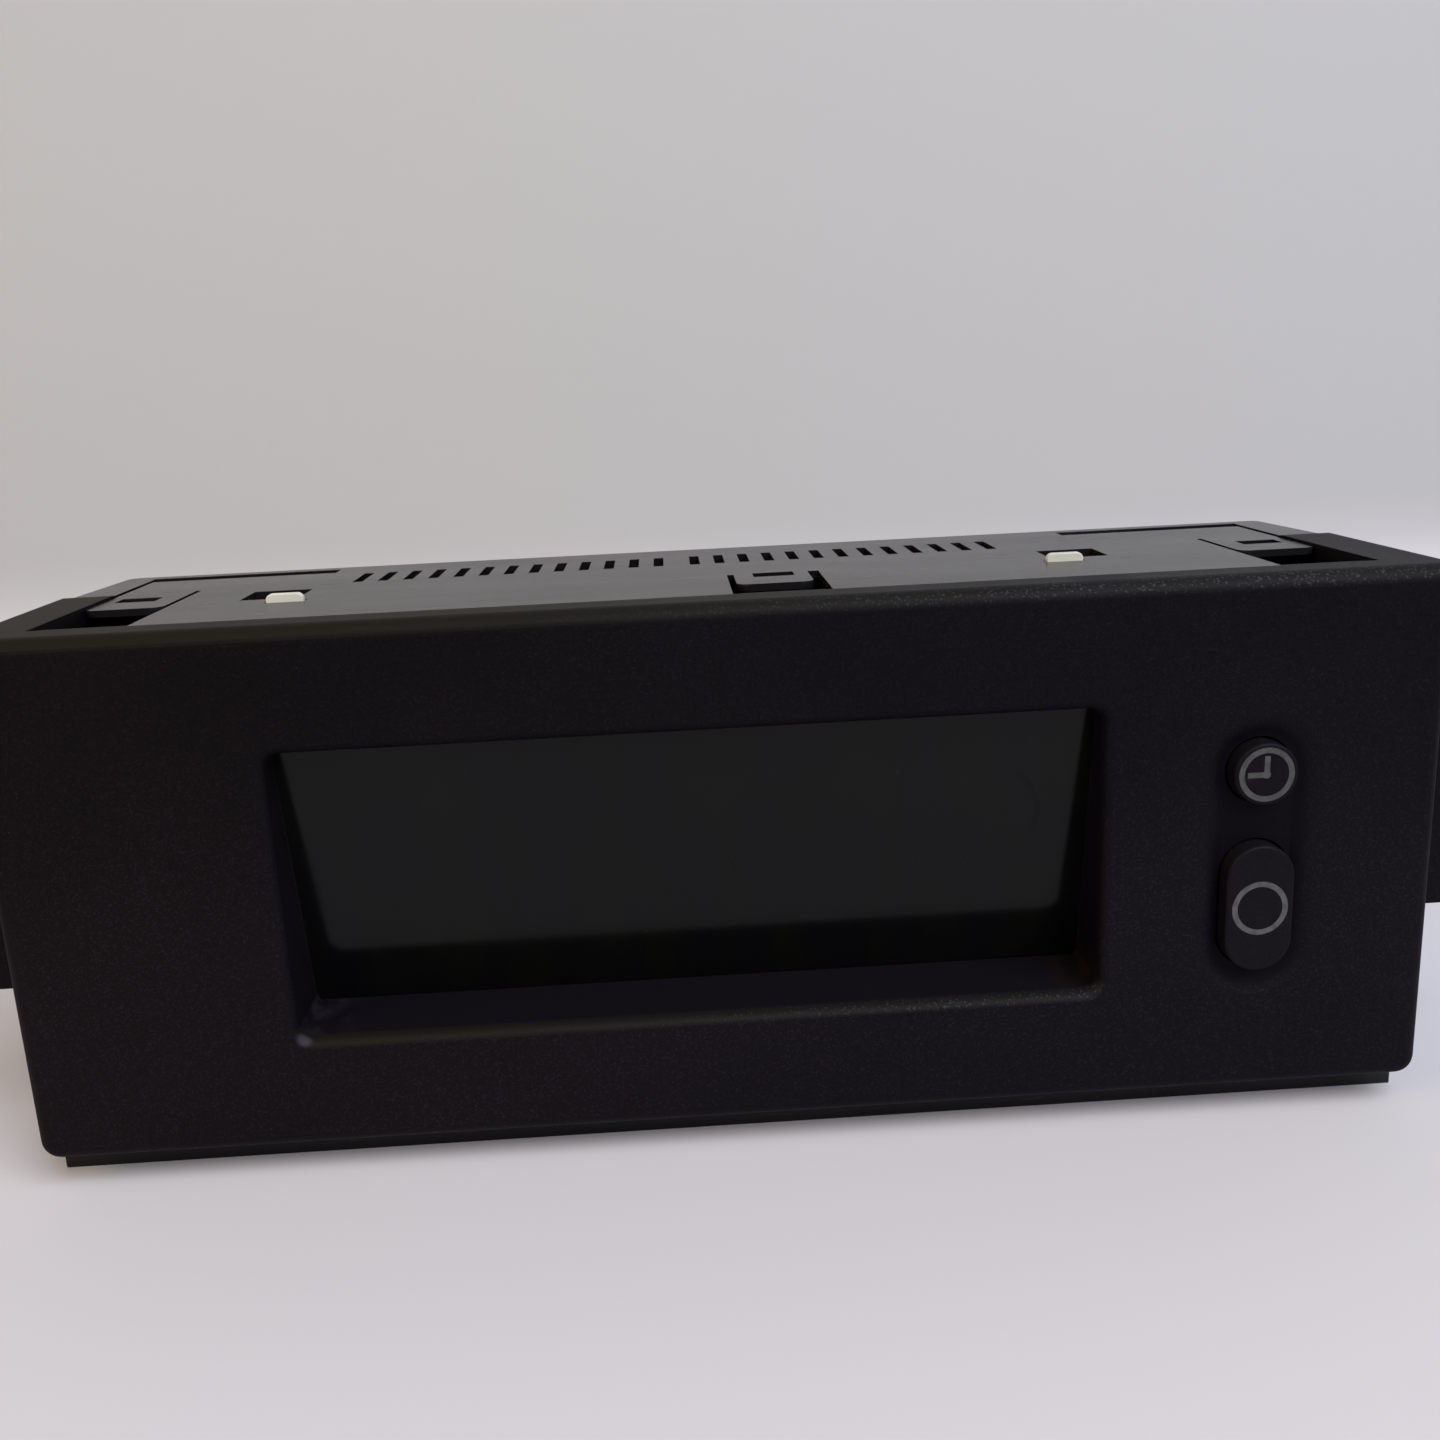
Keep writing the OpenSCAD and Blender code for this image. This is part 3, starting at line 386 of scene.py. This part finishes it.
world = bpy.data.worlds.new("soft_grey")
sky = Graph(world)
sky.tree.nodes.remove(sky.tree.nodes["Background"])
direction = sky.add("ShaderNodeTexCoord", {}, output="Generated")
sideways = sky.add("ShaderNodeSeparateXYZ", {}, direction, output="X")
share = sky.add("ShaderNodeMapRange", {}, sideways, -1.0, 1.0, 0.0, 1.0)
glow = sky.add("ShaderNodeBackground", {}, sky.blend(share, WORLD_LEFT, WORLD_RIGHT), WORLD_STRENGTH)
plain_grey = sky.add("ShaderNodeBackground", {}, (*BACKDROP, 1.0), 1.0)
for_camera = sky.add("ShaderNodeLightPath", {}, output="Is Camera Ray")
either = sky.add("ShaderNodeMixShader", {}, for_camera, glow, plain_grey)
sky.tree.links.new(either.socket, sky.tree.nodes["World Output"].inputs["Surface"])

bpy.context.scene.world = world
bpy.context.scene.view_settings.view_transform = "Standard"
print("world of strength", WORLD_STRENGTH)

# %% [markdown]
# ## Moulded black plastics
# The bezel's mould was spark eroded, which leaves a fine pebbled grain that scatters light: the face looks
# dull and slightly purple. It is painted a little warmer towards its left end, a painted warm light, and
# darker towards its top, a painted shade, and each pebble's top is lighter than the ground. So its colour is
# worked out in three steps.

# %% Colour the pebbled plastic, with painted warm light and painted shade
WARM_LIGHT_TURN = (-80.0, 50.0)
WARM_LIGHT_FACTORS = (1.06, 1.0, 0.82)
TOP_SHADE_FADE = (20.0, 56.0)
TOP_SHADE_SHARE = 0.7
DRIFT_SHARE = 0.3
SHADE_AND_MOTTLE_FACTORS = (0.50, 0.50, 0.50)
PEBBLE_TOPS = (0.5, 0.72)
PEBBLE_FACTORS = (2.35, 2.35, 2.35)
MIDDLE_OF_NOISE = (0.3, 0.7)


def scaled(colour, factors):
    """A colour times one number, or times one number for each of red, green and blue."""
    return tuple(np.multiply(colour, factors))


def pebbled_and_lit_tone(finish, colour, pebble, drift):
    """The plastic's colour: painted warm light at the left, painted shade high up, pebble tops lighter."""
    # Painted warm light: the colour turns warmer towards the left end.
    warm_lit = finish.blend(finish.axis("X").steps(*WARM_LIGHT_TURN), scaled(colour, WARM_LIGHT_FACTORS), colour)
    # Painted shade: darker towards the top. The slow drift adds random mottling.
    high = finish.axis("Z").steps(*TOP_SHADE_FADE)
    shade_and_mottle = drift.steps(*MIDDLE_OF_NOISE) * DRIFT_SHARE + high * TOP_SHADE_SHARE
    ground = finish.blend(shade_and_mottle, warm_lit, SHADE_AND_MOTTLE_FACTORS, "MULTIPLY")
    return finish.blend(pebble.steps(*PEBBLE_TOPS), ground, PEBBLE_FACTORS, "MULTIPLY")


print("pebbles are", PEBBLE_FACTORS[0], "times as light as the ground")

# %% [markdown]
# A thin film lies on what faces up: dust, and painted top light, as what faces up catches more light. It is
# painted olive at the left end and bluish at the right, a painted warm and cool light, and towards the right
# single painted glints sparkle in it.

# %% Colour the film of dust and painted light
FILM_LIGHT_TURN = (-70.0, 70.0)
FILM_WARM_LIT = (0.0120, 0.0106, 0.0066)
FILM_COOL_LIT = (0.0114, 0.0114, 0.0129)
PAINTED_GLINT_TONE = (0.045, 0.045, 0.049)
PAINTED_GLINT_TURN = (-30.0, 50.0)
PAINTED_GLINT_SIZE = 1.2
PAINTED_GLINT_TOPS = (0.58, 0.70)


def film_with_painted_light(finish, grain, dust_and_light):
    """The film's colour, tinted by painted light. The painted glints are a little larger than the pebbles.
    """
    across = finish.axis("X")
    # Painted warm light at the left end, painted cool light at the right.
    light_tinted_film = finish.blend(across.steps(*FILM_LIGHT_TURN), FILM_WARM_LIT, FILM_COOL_LIT)
    # Painted glints: single bright grains towards the right end.
    painted_glints = finish.noise(grain * PAINTED_GLINT_SIZE, detail=1.0, shift=(2.0, 8.0, 1.0)).steps(*PAINTED_GLINT_TOPS)
    return finish.blend(painted_glints * across.steps(*PAINTED_GLINT_TURN) * dust_and_light, light_tinted_film, PAINTED_GLINT_TONE)


print("the film turns colour from", FILM_LIGHT_TURN[0], "to", FILM_LIGHT_TURN[1], "mm")

# %% [markdown]
# Both tones come together here, with bumps, a slow drift in the gloss and a few specks of dust. The two keys
# come from a mould of the same kind with a finer and shallower grain. Fingers keep their dust down, and they
# get less of the painted top light and fewer painted glints.

# %% Make the spark-eroded plastics
COARSE_SIZE = 3.1
PEBBLE_SHARE = 0.75
DRIFT_SIZE = 22.0
GLOSS_DRIFT = 0.06
THINNEST_FILM = 0.7
FILM_GLOSS = 0.12
SPECK_SPACING = 3.1
SPECK_TONE = (0.03, 0.029, 0.028)


def spark_plastic(name, colour, roughness, grain, depth, specular, dust_and_light):
    """Grain in bumps and tone, dust and painted top light on what faces up, and specks. All sizes in
    millimetres.
    """
    finish = Finish(name, colour, roughness, Specular_IOR_Level=specular)
    pebble = finish.noise(grain, detail=3.0, rough=0.6)
    coarse = finish.noise(grain * COARSE_SIZE, detail=1.0, shift=(7.0, 3.0, 5.0))
    finish.relief(pebble * PEBBLE_SHARE + coarse * (1.0 - PEBBLE_SHARE), depth)
    drift = finish.noise(DRIFT_SIZE, shift=(3.0, 11.0, 2.0))
    # The film: dust, and painted top light on faces that look up.
    film = finish.attribute("upward") * drift.span(THINNEST_FILM * dust_and_light, dust_and_light)
    own_tone = pebbled_and_lit_tone(finish, colour, pebble, drift)
    filmed = finish.blend(film, own_tone, film_with_painted_light(finish, grain, dust_and_light))
    specks = finish.specks(SPECK_SPACING, core=0.012, edge=0.024, shift=(1.0, 4.0, 9.0))
    finish.paint(finish.blend(specks, filmed, SPECK_TONE))
    gloss = drift.span(roughness - GLOSS_DRIFT, roughness + GLOSS_DRIFT)
    finish.feed("Roughness", gloss - film * FILM_GLOSS)
    return finish


bezel_black = spark_plastic("bezel_spark_grain", (0.0057, 0.0046, 0.0072), roughness=0.6, grain=0.24,
                            depth=0.028, specular=0.05, dust_and_light=1.0)
key_black = spark_plastic("key_satin", (0.0056, 0.0045, 0.0071), roughness=0.5, grain=0.2,
                          depth=0.010, specular=0.06, dust_and_light=0.35)
print("spark-eroded plastics", bezel_black.material.name, "and", key_black.material.name)

# %% [markdown]
# The housing's mould was only polished to a satin, so its top mirrors the wall at a low angle. It has faint
# flow marks, much wider than its grain, and hairline scuffs. The inner mouldings, the tape and the
# resistors' ceramic share this recipe, in other colours and with other gloss.

# %% Make the satin plastics
PEEL_SIZE = 0.7
PEEL_SHARE = 0.8
SATIN_DEPTH = 0.006
FLOW_SIZE = 9.0
FLOW_STRETCH = (0.3, 1.0, 1.0)
FLOW_GLOSS = 0.05
SCUFF_SIZE = 1.1
SCUFF_STRETCH = (0.12, 1.0, 1.0)
SCUFF_TOPS = (0.66, 0.74)
SCUFF_GLOSS = 0.08
PALEST_SCUFF = 0.9


def satin_plastic(name, colour, roughness, specular):
    """Satin moulding: a faint orange-peel, flow marks drawn out along X, and hairline scuffs."""
    finish = Finish(name, colour, roughness, Specular_IOR_Level=specular)
    peel = finish.noise(PEEL_SIZE)
    flow = finish.noise(FLOW_SIZE, stretch=FLOW_STRETCH)
    scuff = finish.noise(SCUFF_SIZE, stretch=SCUFF_STRETCH, shift=(5.0, 1.0, 8.0)).steps(*SCUFF_TOPS)
    finish.relief(peel * PEEL_SHARE + scuff * (1.0 - PEEL_SHARE), SATIN_DEPTH)
    flowing = finish.blend(flow.steps(*MIDDLE_OF_NOISE), scaled(colour, 0.85), scaled(colour, 1.15))
    pale = np.minimum(scaled(colour, 1.8), PALEST_SCUFF)
    finish.paint(finish.blend(scuff, flowing, pale))
    gloss = flow.span(roughness - FLOW_GLOSS, roughness + FLOW_GLOSS)
    finish.feed("Roughness", gloss + scuff * SCUFF_GLOSS)
    return finish


housing_black = satin_plastic("housing_satin", (0.0076, 0.0070, 0.0080), 0.25, 0.245)
shield_black = satin_plastic("shield_matt", (0.008, 0.008, 0.008), 0.7, 0.15)
socket_blue = satin_plastic("socket_moulding", (0.022, 0.032, 0.07), 0.42, 0.4)
switch_black = satin_plastic("switch_moulding", (0.015, 0.015, 0.016), 0.45, 0.4)
box_white = satin_plastic("light_box_white", (0.67, 0.67, 0.60), 0.42, 0.4)
nylon = satin_plastic("plunger_nylon", (0.62, 0.6, 0.53), 0.4, 0.4)
chip_black = satin_plastic("chip_compound", (0.02, 0.02, 0.022), 0.6, 0.3)
tape_black = satin_plastic("tape_foam", (0.01, 0.01, 0.01), 0.85, 0.1)
ceramic = satin_plastic("resistor_ceramic", (0.03, 0.03, 0.034), 0.3, 0.5)
print("satin plastics ready")

# %% [markdown]
# Dust gathers where a cloth can't reach: in the two lower corners of the window, on the sill. A mask made
# from the coordinates finds those corners, and noise breaks the dust into soft patches. The whole sill is
# first painted one plain dark tone, a painted shade, in place of the film and its painted top light. Of four
# places in millimetres, a band starts at the first, is full from the second to the third and ends at the
# last. Of two, a slope starts at the first and is full at the second.

# %% Paint shade on the sill and lay dust in the window's lower corners
SILL_HEIGHTS = (15.0, 15.5, 17.0, 17.6)
SILL_DEPTHS = (-21.4, -20.4)
WELL_ENDS = (-48.0, -47.0, 40.4, 41.4)
LEFT_CORNER = (-46.0, -39.0)
RIGHT_CORNER = (32.4, 39.4)
PATCH_SIZE = 2.2
PATCH_TOPS = (0.35, 0.75)
SHADED_SILL_TONE = (0.0060, 0.0048, 0.0080)
LEFT_DUST = (0.0190, 0.0165, 0.0200)
RIGHT_DUST = (0.0120, 0.0086, 0.0056)

along = bezel_black.axis("X")
level = bezel_black.axis("Z")
behind_lip = bezel_black.axis("Y").steps(*SILL_DEPTHS)
sill = level.band(*SILL_HEIGHTS) * behind_lip * along.band(*WELL_ENDS)
cloud = bezel_black.noise(PATCH_SIZE, detail=3.0, shift=(9.0, 2.0, 4.0))
patches = cloud.steps(*PATCH_TOPS) * sill
near_left = 1.0 - along.steps(*LEFT_CORNER)
near_right = along.steps(*RIGHT_CORNER)

# Painted shade: the whole sill turns one plain dark tone.
bezel_black.paint(bezel_black.blend(sill, bezel_black.tone, SHADED_SILL_TONE))
bezel_black.paint(bezel_black.blend(near_left * patches, bezel_black.tone, LEFT_DUST))
bezel_black.paint(bezel_black.blend(near_right * patches, bezel_black.tone, RIGHT_DUST))
print("dust reaches", LEFT_CORNER[1] - LEFT_CORNER[0], "mm along the sill from each corner")

# %% [markdown]
# The right side of the window's well is painted darker than the face, a painted shade. So is the hollow
# round the keys, a painted shade. At its left end the window's lower lip has a small painted highlight, a
# pale spot.

# %% Paint shade on the well's side and the hollow, and a highlight on the lip
SHADED_RIGHT_SIDE = (36.0, 37.0, 42.0, 43.0)
ABOVE_SILL = (17.6, 19.6)
PAINTED_SIDE_SHADE = (0.0032, 0.0026, 0.0062)
LIP_END = (-45.3, -22.2, 16.3)
HIGHLIGHT_RADII = (0.33, 1.1)
PAINTED_HIGHLIGHT_TONE = (0.036, 0.034, 0.040)
HOLLOW_ENDS = (49.4, 51.9, 59.7, 62.2)
HOLLOW_HEIGHTS = (13.6, 15.1, 45.5, 47.0)
HOLLOW_DEPTHS = (-22.4, -22.0)
HOLLOW_SHADE_TONE = (0.0032, 0.0025, 0.0042)

shaded_right_side = along.band(*SHADED_RIGHT_SIDE) * behind_lip * level.steps(*ABOVE_SILL)
painted_highlight_spot = 1.0 - bezel_black.away(LIP_END).steps(*HIGHLIGHT_RADII)
behind_face = bezel_black.axis("Y").steps(*HOLLOW_DEPTHS)
hollow = level.band(*HOLLOW_HEIGHTS) * along.band(*HOLLOW_ENDS) * behind_face

# Painted shade on the right side of the well.
bezel_black.paint(bezel_black.blend(shaded_right_side, bezel_black.tone, PAINTED_SIDE_SHADE))
# Painted highlight: a pale spot at the left end of the window's lower lip.
bezel_black.paint(bezel_black.blend(painted_highlight_spot, bezel_black.tone, PAINTED_HIGHLIGHT_TONE))
# Painted shade in the hollow round the keys.
bezel_black.paint(bezel_black.blend(hollow, bezel_black.tone, HOLLOW_SHADE_TONE))
print("the hollow is", HOLLOW_HEIGHTS[-1] - HOLLOW_HEIGHTS[0], "mm high")

# %% [markdown]
# ## The window, the glass and the films
# The front window is a polished, smoked pane. It is nearly opaque, so all that the picture shows in it is a
# faint mirror image: the pale table in its upper part and the dark sill along its lower edge. A pane is
# never quite clean, so its gloss and hue vary slowly and a few fine specks lie on it.

# %% Make the pane and the films
SMEAR_SIZE = 14.0
SMEAR_STRETCH = (0.5, 1.0, 1.2)
SMEAR_LEAST = 0.6
SMEAR_MOST = 1.5
WIPE_SIZE = 7.0
WIPE_STRETCH = (1.2, 1.0, 0.5)
WIPE_TOPS = (0.36, 0.66)
COOL_FACTORS = (1.0, 0.85, 1.15)
WARM_FACTORS = (1.25, 1.3, 0.95)
PANE_SPECK_SPACING = 1.7
PANE_SPECK_GLOSS = 0.3
PANE_SPECK_TONE = (0.04, 0.042, 0.036)


def polished_pane(name, colour, roughness, specular):
    """A polished sheet with a slow smear in its gloss and small specks of dust."""
    finish = Finish(name, colour, roughness, Specular_IOR_Level=specular)
    smear = finish.noise(SMEAR_SIZE, detail=3.0, stretch=SMEAR_STRETCH)
    wiped = finish.noise(WIPE_SIZE, stretch=WIPE_STRETCH, shift=(4.0, 9.0, 3.0)).steps(*WIPE_TOPS)
    shade = finish.blend(wiped, scaled(colour, COOL_FACTORS), scaled(colour, WARM_FACTORS))
    specks = finish.specks(PANE_SPECK_SPACING, core=0.02, edge=0.035, shift=(2.0, 6.0, 1.0))
    finish.paint(finish.blend(specks, shade, PANE_SPECK_TONE))
    gloss = smear.span(roughness * SMEAR_LEAST, roughness * SMEAR_MOST)
    finish.feed("Roughness", gloss + specks * PANE_SPECK_GLOSS)
    return finish


smoked_pane = polished_pane("lens_smoked", (0.0022, 0.0024, 0.0026), 0.13, 0.17)
cell_glass = polished_pane("display_glass", (0.06, 0.075, 0.06), 0.05, 0.5)
grey_film = polished_pane("polarising_film", (0.05, 0.055, 0.05), 0.2, 0.5)
white_film = polished_pane("diffuser_film", (0.8, 0.8, 0.78), 0.5, 0.4)
print("pane and films ready")

# %% [markdown]
# Near its right end the pane has one faint, curved stroke, where a cloth has taken the haze off. It is part
# of a circle: a thin shell round a point on the pane, cut off at its left and at its lower end.

# %% Wipe a curved stroke on the pane
STROKE_CENTRE = (28.1, -17.0, 35.1)
STROKE_RADII = (5.2, 5.8, 5.8, 6.4)
STROKE_LEFT = (30.8, 31.8)
STROKE_LOW = (31.8, 32.8)
STROKE_TONE = (0.0001, 0.0, 0.0004)

circle = smoked_pane.away(STROKE_CENTRE).band(*STROKE_RADII)
stroke = circle * smoked_pane.axis("X").steps(*STROKE_LEFT) * smoked_pane.axis("Z").steps(*STROKE_LOW)
smoked_pane.paint(smoked_pane.blend(stroke, smoked_pane.tone, STROKE_TONE))
print("stroke of", STROKE_RADII[1], "mm radius")

# %% [markdown]
# ## Marks, rubber and resin
# The marks in the keys are the ends of light pipes. Unlit, they are a cloudy grey that is a little brighter
# where the resin is thick. Rubber and resin share the recipe: soft clouds inside and a fine skin outside.

# %% Make the cloudy finishes
SKIN_SIZE = 0.2
SKIN_DEPTH = 0.004
CLOUD_GLOSS = 0.06
PALEST_CLOUD = 0.95


def cloudy(name, colour, roughness, size, specular=0.5):
    """Soft clouds of a size in millimetres in the colour, and a fine skin in the bumps."""
    finish = Finish(name, colour, roughness, Specular_IOR_Level=specular)
    cloud = finish.noise(size)
    finish.relief(finish.noise(size * SKIN_SIZE), SKIN_DEPTH)
    thick = np.minimum(scaled(colour, 1.3), PALEST_CLOUD)
    finish.paint(finish.blend(cloud.steps(*MIDDLE_OF_NOISE), scaled(colour, 0.72), thick))
    finish.feed("Roughness", cloud.span(roughness - CLOUD_GLOSS, roughness + CLOUD_GLOSS))
    return finish


clock_grey = cloudy("clock_light_pipe", (0.038, 0.039, 0.039), 0.35, 0.9)
ring_grey = cloudy("ring_light_pipe", (0.054, 0.055, 0.058), 0.35, 0.9)
dome_rubber = cloudy("dome_silicone", (0.17, 0.17, 0.18), 0.6, 1.5, 0.3)
strip_rubber = cloudy("contact_elastomer", (0.6, 0.28, 0.32), 0.65, 2.0, 0.3)
lamp_resin = cloudy("lamp_resin", (0.8, 0.68, 0.32), 0.2, 0.8)
print("cloudy finishes ready")

# %% [markdown]
# ## Metal parts
# Tin plating, zinc plating and plain aluminium are all brushed or rolled sheet: fine streaks along one
# direction, in the gloss and in the bumps.

# %% Make the metal finishes
ALONG_X = (0.06, 1.0, 1.0)
ALONG_Z = (1.0, 1.0, 0.06)
STREAK_SIZE = 0.12
STREAK_DEPTH = 0.003
STREAK_GLOSS = 0.08
TARNISH_SIZE = 4.0
TARNISH_TOPS = (0.35, 0.75)
TARNISH_GLOSS = 0.06


def rolled_metal(name, colour, roughness, stretch):
    """Streaks drawn out along one axis, with a slow tarnish over them."""
    finish = Finish(name, colour, roughness, Metallic=1.0)
    streak = finish.noise(STREAK_SIZE, detail=3.0, stretch=stretch)
    tarnish = finish.noise(TARNISH_SIZE)
    finish.relief(streak, STREAK_DEPTH)
    finish.paint(finish.blend(tarnish.steps(*TARNISH_TOPS), colour, scaled(colour, 0.72)))
    gloss = streak.span(roughness - STREAK_GLOSS, roughness + STREAK_GLOSS)
    finish.feed("Roughness", gloss + tarnish * TARNISH_GLOSS)
    return finish


tin_sheet = rolled_metal("tinned_steel", (0.6, 0.6, 0.61), 0.32, ALONG_X)
tin_lead = rolled_metal("tinned_lead", (0.62, 0.62, 0.63), 0.3, ALONG_Z)
can_metal = rolled_metal("capacitor_can", (0.68, 0.68, 0.7), 0.3, ALONG_Z)
sink_metal = rolled_metal("heat_sink_sheet", (0.62, 0.63, 0.64), 0.4, ALONG_X)
pin_gold = rolled_metal("gold_flash", (0.75, 0.55, 0.24), 0.25, ALONG_X)
screw_zinc = rolled_metal("zinc_plate", (0.6, 0.58, 0.5), 0.34, ALONG_X)
print("metal finishes ready")

# %% [markdown]
# ## The circuit board
# Solder mask is a thin green lacquer over copper. Where copper runs below it the green is lighter. The
# tracks here are a plain pattern of lines on a grid, as a real layout isn't seen in the picture.

# %% Make the board's finish
TRACK_PITCH = 1.27
TRACK_SWAY = 3.0
TRACK_EDGES = (0.25, 0.32, 0.55, 0.62)
TRACK_DEPTH = 0.03
WANDER_SIZE = 6.0
WANDER_TOPS = (0.45, 0.5)
MASK_GLOSS = (0.24, 0.34)
MASK_GREEN = (0.028, 0.125, 0.055)
TRACK_GREEN = (0.05, 0.2, 0.085)

board_green = Finish("solder_mask", (0.03, 0.14, 0.06), 0.28, Specular_IOR_Level=0.5)
wander = board_green.noise(WANDER_SIZE, detail=1.0)
lane = (board_green.axis("X") + wander * TRACK_SWAY) * (1.0 / TRACK_PITCH)
track = lane.maths("FRACT", lane).band(*TRACK_EDGES) * wander.steps(*WANDER_TOPS)
board_green.paint(board_green.blend(track, MASK_GREEN, TRACK_GREEN))
board_green.feed("Roughness", wander.span(*MASK_GLOSS))
board_green.relief(track, TRACK_DEPTH)
print("tracks", TRACK_PITCH, "mm apart")

# %% [markdown]
# ## Finishes on the parts that stay as they are
# A part whose solid is right as it stands keeps its solid, and only gets its finish. That holds for the
# window, the two marks, and everything inside, which is seen through the slots and the rear socket at most.

# %% Dress the parts that keep their solids
KEPT = {
    "display_lens": smoked_pane,
    "lens_tape": tape_black,
    "light_shield": shield_black,
    "lcd_frame": tin_sheet,
    "lcd_glass": cell_glass,
    "lcd_polarisers": grey_film,
    "contact_strips": strip_rubber,
    "diffuser_sheet": white_film,
    "backlight_leds": lamp_resin,
    "button_leds": lamp_resin,
    "main_board": board_green,
    "processor_chip": chip_black,
    "driver_chips": chip_black,
    "chip_leads": tin_lead,
    "capacitors": can_metal,
    "regulator": chip_black,
    "heat_sink": sink_metal,
    "quartz_crystal": tin_lead,
    "chip_resistors": ceramic,
    "board_screws": screw_zinc,
    "clock_switch": switch_black,
    "select_switch": switch_black,
    "clock_plunger": nylon,
    "select_plunger": nylon,
    "clock_mark": clock_grey,
    "ring_mark": ring_grey,
    "connector_pins": pin_gold,
}


def dress(node, finish):
    """Puts one finish on a CAD node and takes its plain colour off."""
    mesh = frame["nodes"][node].data
    mesh.materials.clear()
    mesh.materials.append(finish.material)


for node, finish in KEPT.items():
    dress(node, finish)
print("dressed", len(KEPT), "parts")

# %% [markdown]
# ## What a copied mesh knows of its faces
# The bezel's finish asks each face how far it faces up, so the mesh carries that number. The key caps have
# flat tops inside rounded rims. Smooth shading would spread the rim's slope over the flat top as faint
# blotches, so the edges between the two are marked as sharp.

# %% Note how the faces lie
UPRIGHT = 0.08
FACING_UP = 0.5
SQUARE = 0.99999


def face_directions(mesh):
    """The direction of each face, as one row of three numbers for each."""
    directions = np.empty(len(mesh.polygons) * 3)
    mesh.polygons.foreach_get("normal", directions)
    return directions.reshape(-1, 3)


def note_upward(mesh):
    """Gives each face 1 where it faces up by more than about 30 degrees, and 0 where it stands upright."""
    upward = np.clip((face_directions(mesh)[:, 2] - UPRIGHT) / (FACING_UP - UPRIGHT), 0.0, 1.0)
    mesh.attributes.new("upward", "FLOAT", "FACE").data.foreach_set("value", upward)


def keep_flats(mesh):
    """Makes an edge sharp where a face that is square to an axis meets one that isn't."""
    square = np.abs(face_directions(mesh)).max(axis=1) > SQUARE
    corners = np.empty(len(mesh.polygons), dtype=np.int32)
    mesh.polygons.foreach_get("loop_total", corners)
    edge_of = np.empty(len(mesh.loops), dtype=np.int32)
    mesh.loops.foreach_get("edge_index", edge_of)
    square_sides = np.bincount(edge_of, weights=np.repeat(square, corners), minlength=len(mesh.edges))
    sharp = np.empty(len(mesh.edges), dtype=bool)
    mesh.edges.foreach_get("use_edge_sharp", sharp)
    mesh.edges.foreach_set("use_edge_sharp", sharp | (square_sides == 1))


print("a face counts as facing up from", round(math.degrees(math.asin(FACING_UP))), "degrees")

# %% [markdown]
# ## Softened mouldings
# No moulded edge is perfectly sharp. A real tool leaves a radius of one or two tenths of a millimetre, and
# that radius catches the light and draws the edges in the picture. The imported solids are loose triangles,
# so a copy is merged, its flat faces are joined, and every edge that turns by more than 35 degrees is
# rounded. The big rounded edges are in the solid already and turn by less at each step, so they stay. A copy
# with a radius of 0 is merged and shaded, and keeps its shape.

# %% Round the small edges of a copied solid
MERGE_WITHIN = 0.001 * MM
FLAT_TURN = math.radians(0.6)
SHARP_TURN = math.radians(35.0)
SHADED_TURN = math.radians(42.0)
ROUNDING_STEPS = 2
ROUND_PROFILE = 0.5


def rounded_edges(solid, radius):
    """Joins the flat faces and rounds the sharp edges between them by radius millimetres."""
    bmesh.ops.dissolve_limit(solid, angle_limit=FLAT_TURN, verts=solid.verts, edges=solid.edges)
    sharp = [e for e in solid.edges if e.is_manifold and e.calc_face_angle(0.0) > SHARP_TURN]
    bmesh.ops.bevel(solid, geom=sharp, offset=radius * MM, segments=ROUNDING_STEPS, profile=ROUND_PROFILE,
                    affect="EDGES", clamp_overlap=True, loop_slide=True)
    return len(sharp)


def softened(node, name, body, finish, radius):
    """A copy of a CAD node with its edges rounded by radius millimetres. It stands for that node."""
    solid = bmesh.new()
    solid.from_mesh(frame["nodes"][node].data)
    bmesh.ops.remove_doubles(solid, verts=solid.verts, dist=MERGE_WITHIN)
    rounded = rounded_edges(solid, radius) if radius > 0 else 0
    mesh = bpy.data.meshes.new(name)
    solid.to_mesh(mesh)
    solid.free()
    mesh.shade_smooth()
    mesh.set_sharp_from_angle(angle=SHADED_TURN)
    if radius == 0:
        keep_flats(mesh)
    note_upward(mesh)
    mesh.materials.append(finish.material)
    piece = bpy.data.objects.new(name, mesh)
    bpy.context.scene.collection.objects.link(piece)
    even = piece.modifiers.new("even_shading", "WEIGHTED_NORMAL")
    even.keep_sharp = True
    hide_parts(node)
    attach(piece, body)
    print(name, "rounded", rounded, "edges,", len(mesh.polygons), "faces")
    return piece


softened("front_bezel", "bezel_moulding", "unit", bezel_black, 0.15)
softened("rear_housing", "housing_moulding", "unit", housing_black, 0.12)
softened("light_box", "light_box_moulding", "unit", box_white, 0.12)
softened("connector_shell", "socket_moulding", "unit", socket_blue, 0.15)
softened("clock_button", "clock_cap", "clock_key", key_black, 0)
softened("select_button", "select_cap", "select_key", key_black, 0)

# %% [markdown]
# ## The domes under the keys
# Behind each key stands a rubber dome. As the key goes in, the dome can't move with it, because it stands on
# the board: it gets shorter. A copy of each dome is made and shaded, and keeps its shape: nothing here
# flattens it. The record gives the key's travel, and the dome's own box gives its height. Both are printed.

# %% Copy the domes, and measure their height and travel
def flattening_dome(node, name, joint):
    """A shaded copy of a dome, which keeps its shape. Its height and the joint's travel are printed."""
    travel = next(j["range_m"][1] for j in frame["record"]["behaviour"]["joints"] if j["name"] == joint)
    low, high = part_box(node)
    height = high[1] - low[1]
    piece = softened(node, name, "unit", dome_rubber, 0)
    (height - travel) / height
    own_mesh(piece)
    print(name, "is", round(height / MM, 2), "mm high and gives way by", round(travel / MM, 2), "mm")


flattening_dome("clock_dome", "clock_dome_rubber", "clock_press")
flattening_dome("select_dome", "select_dome_rubber", "select_press")
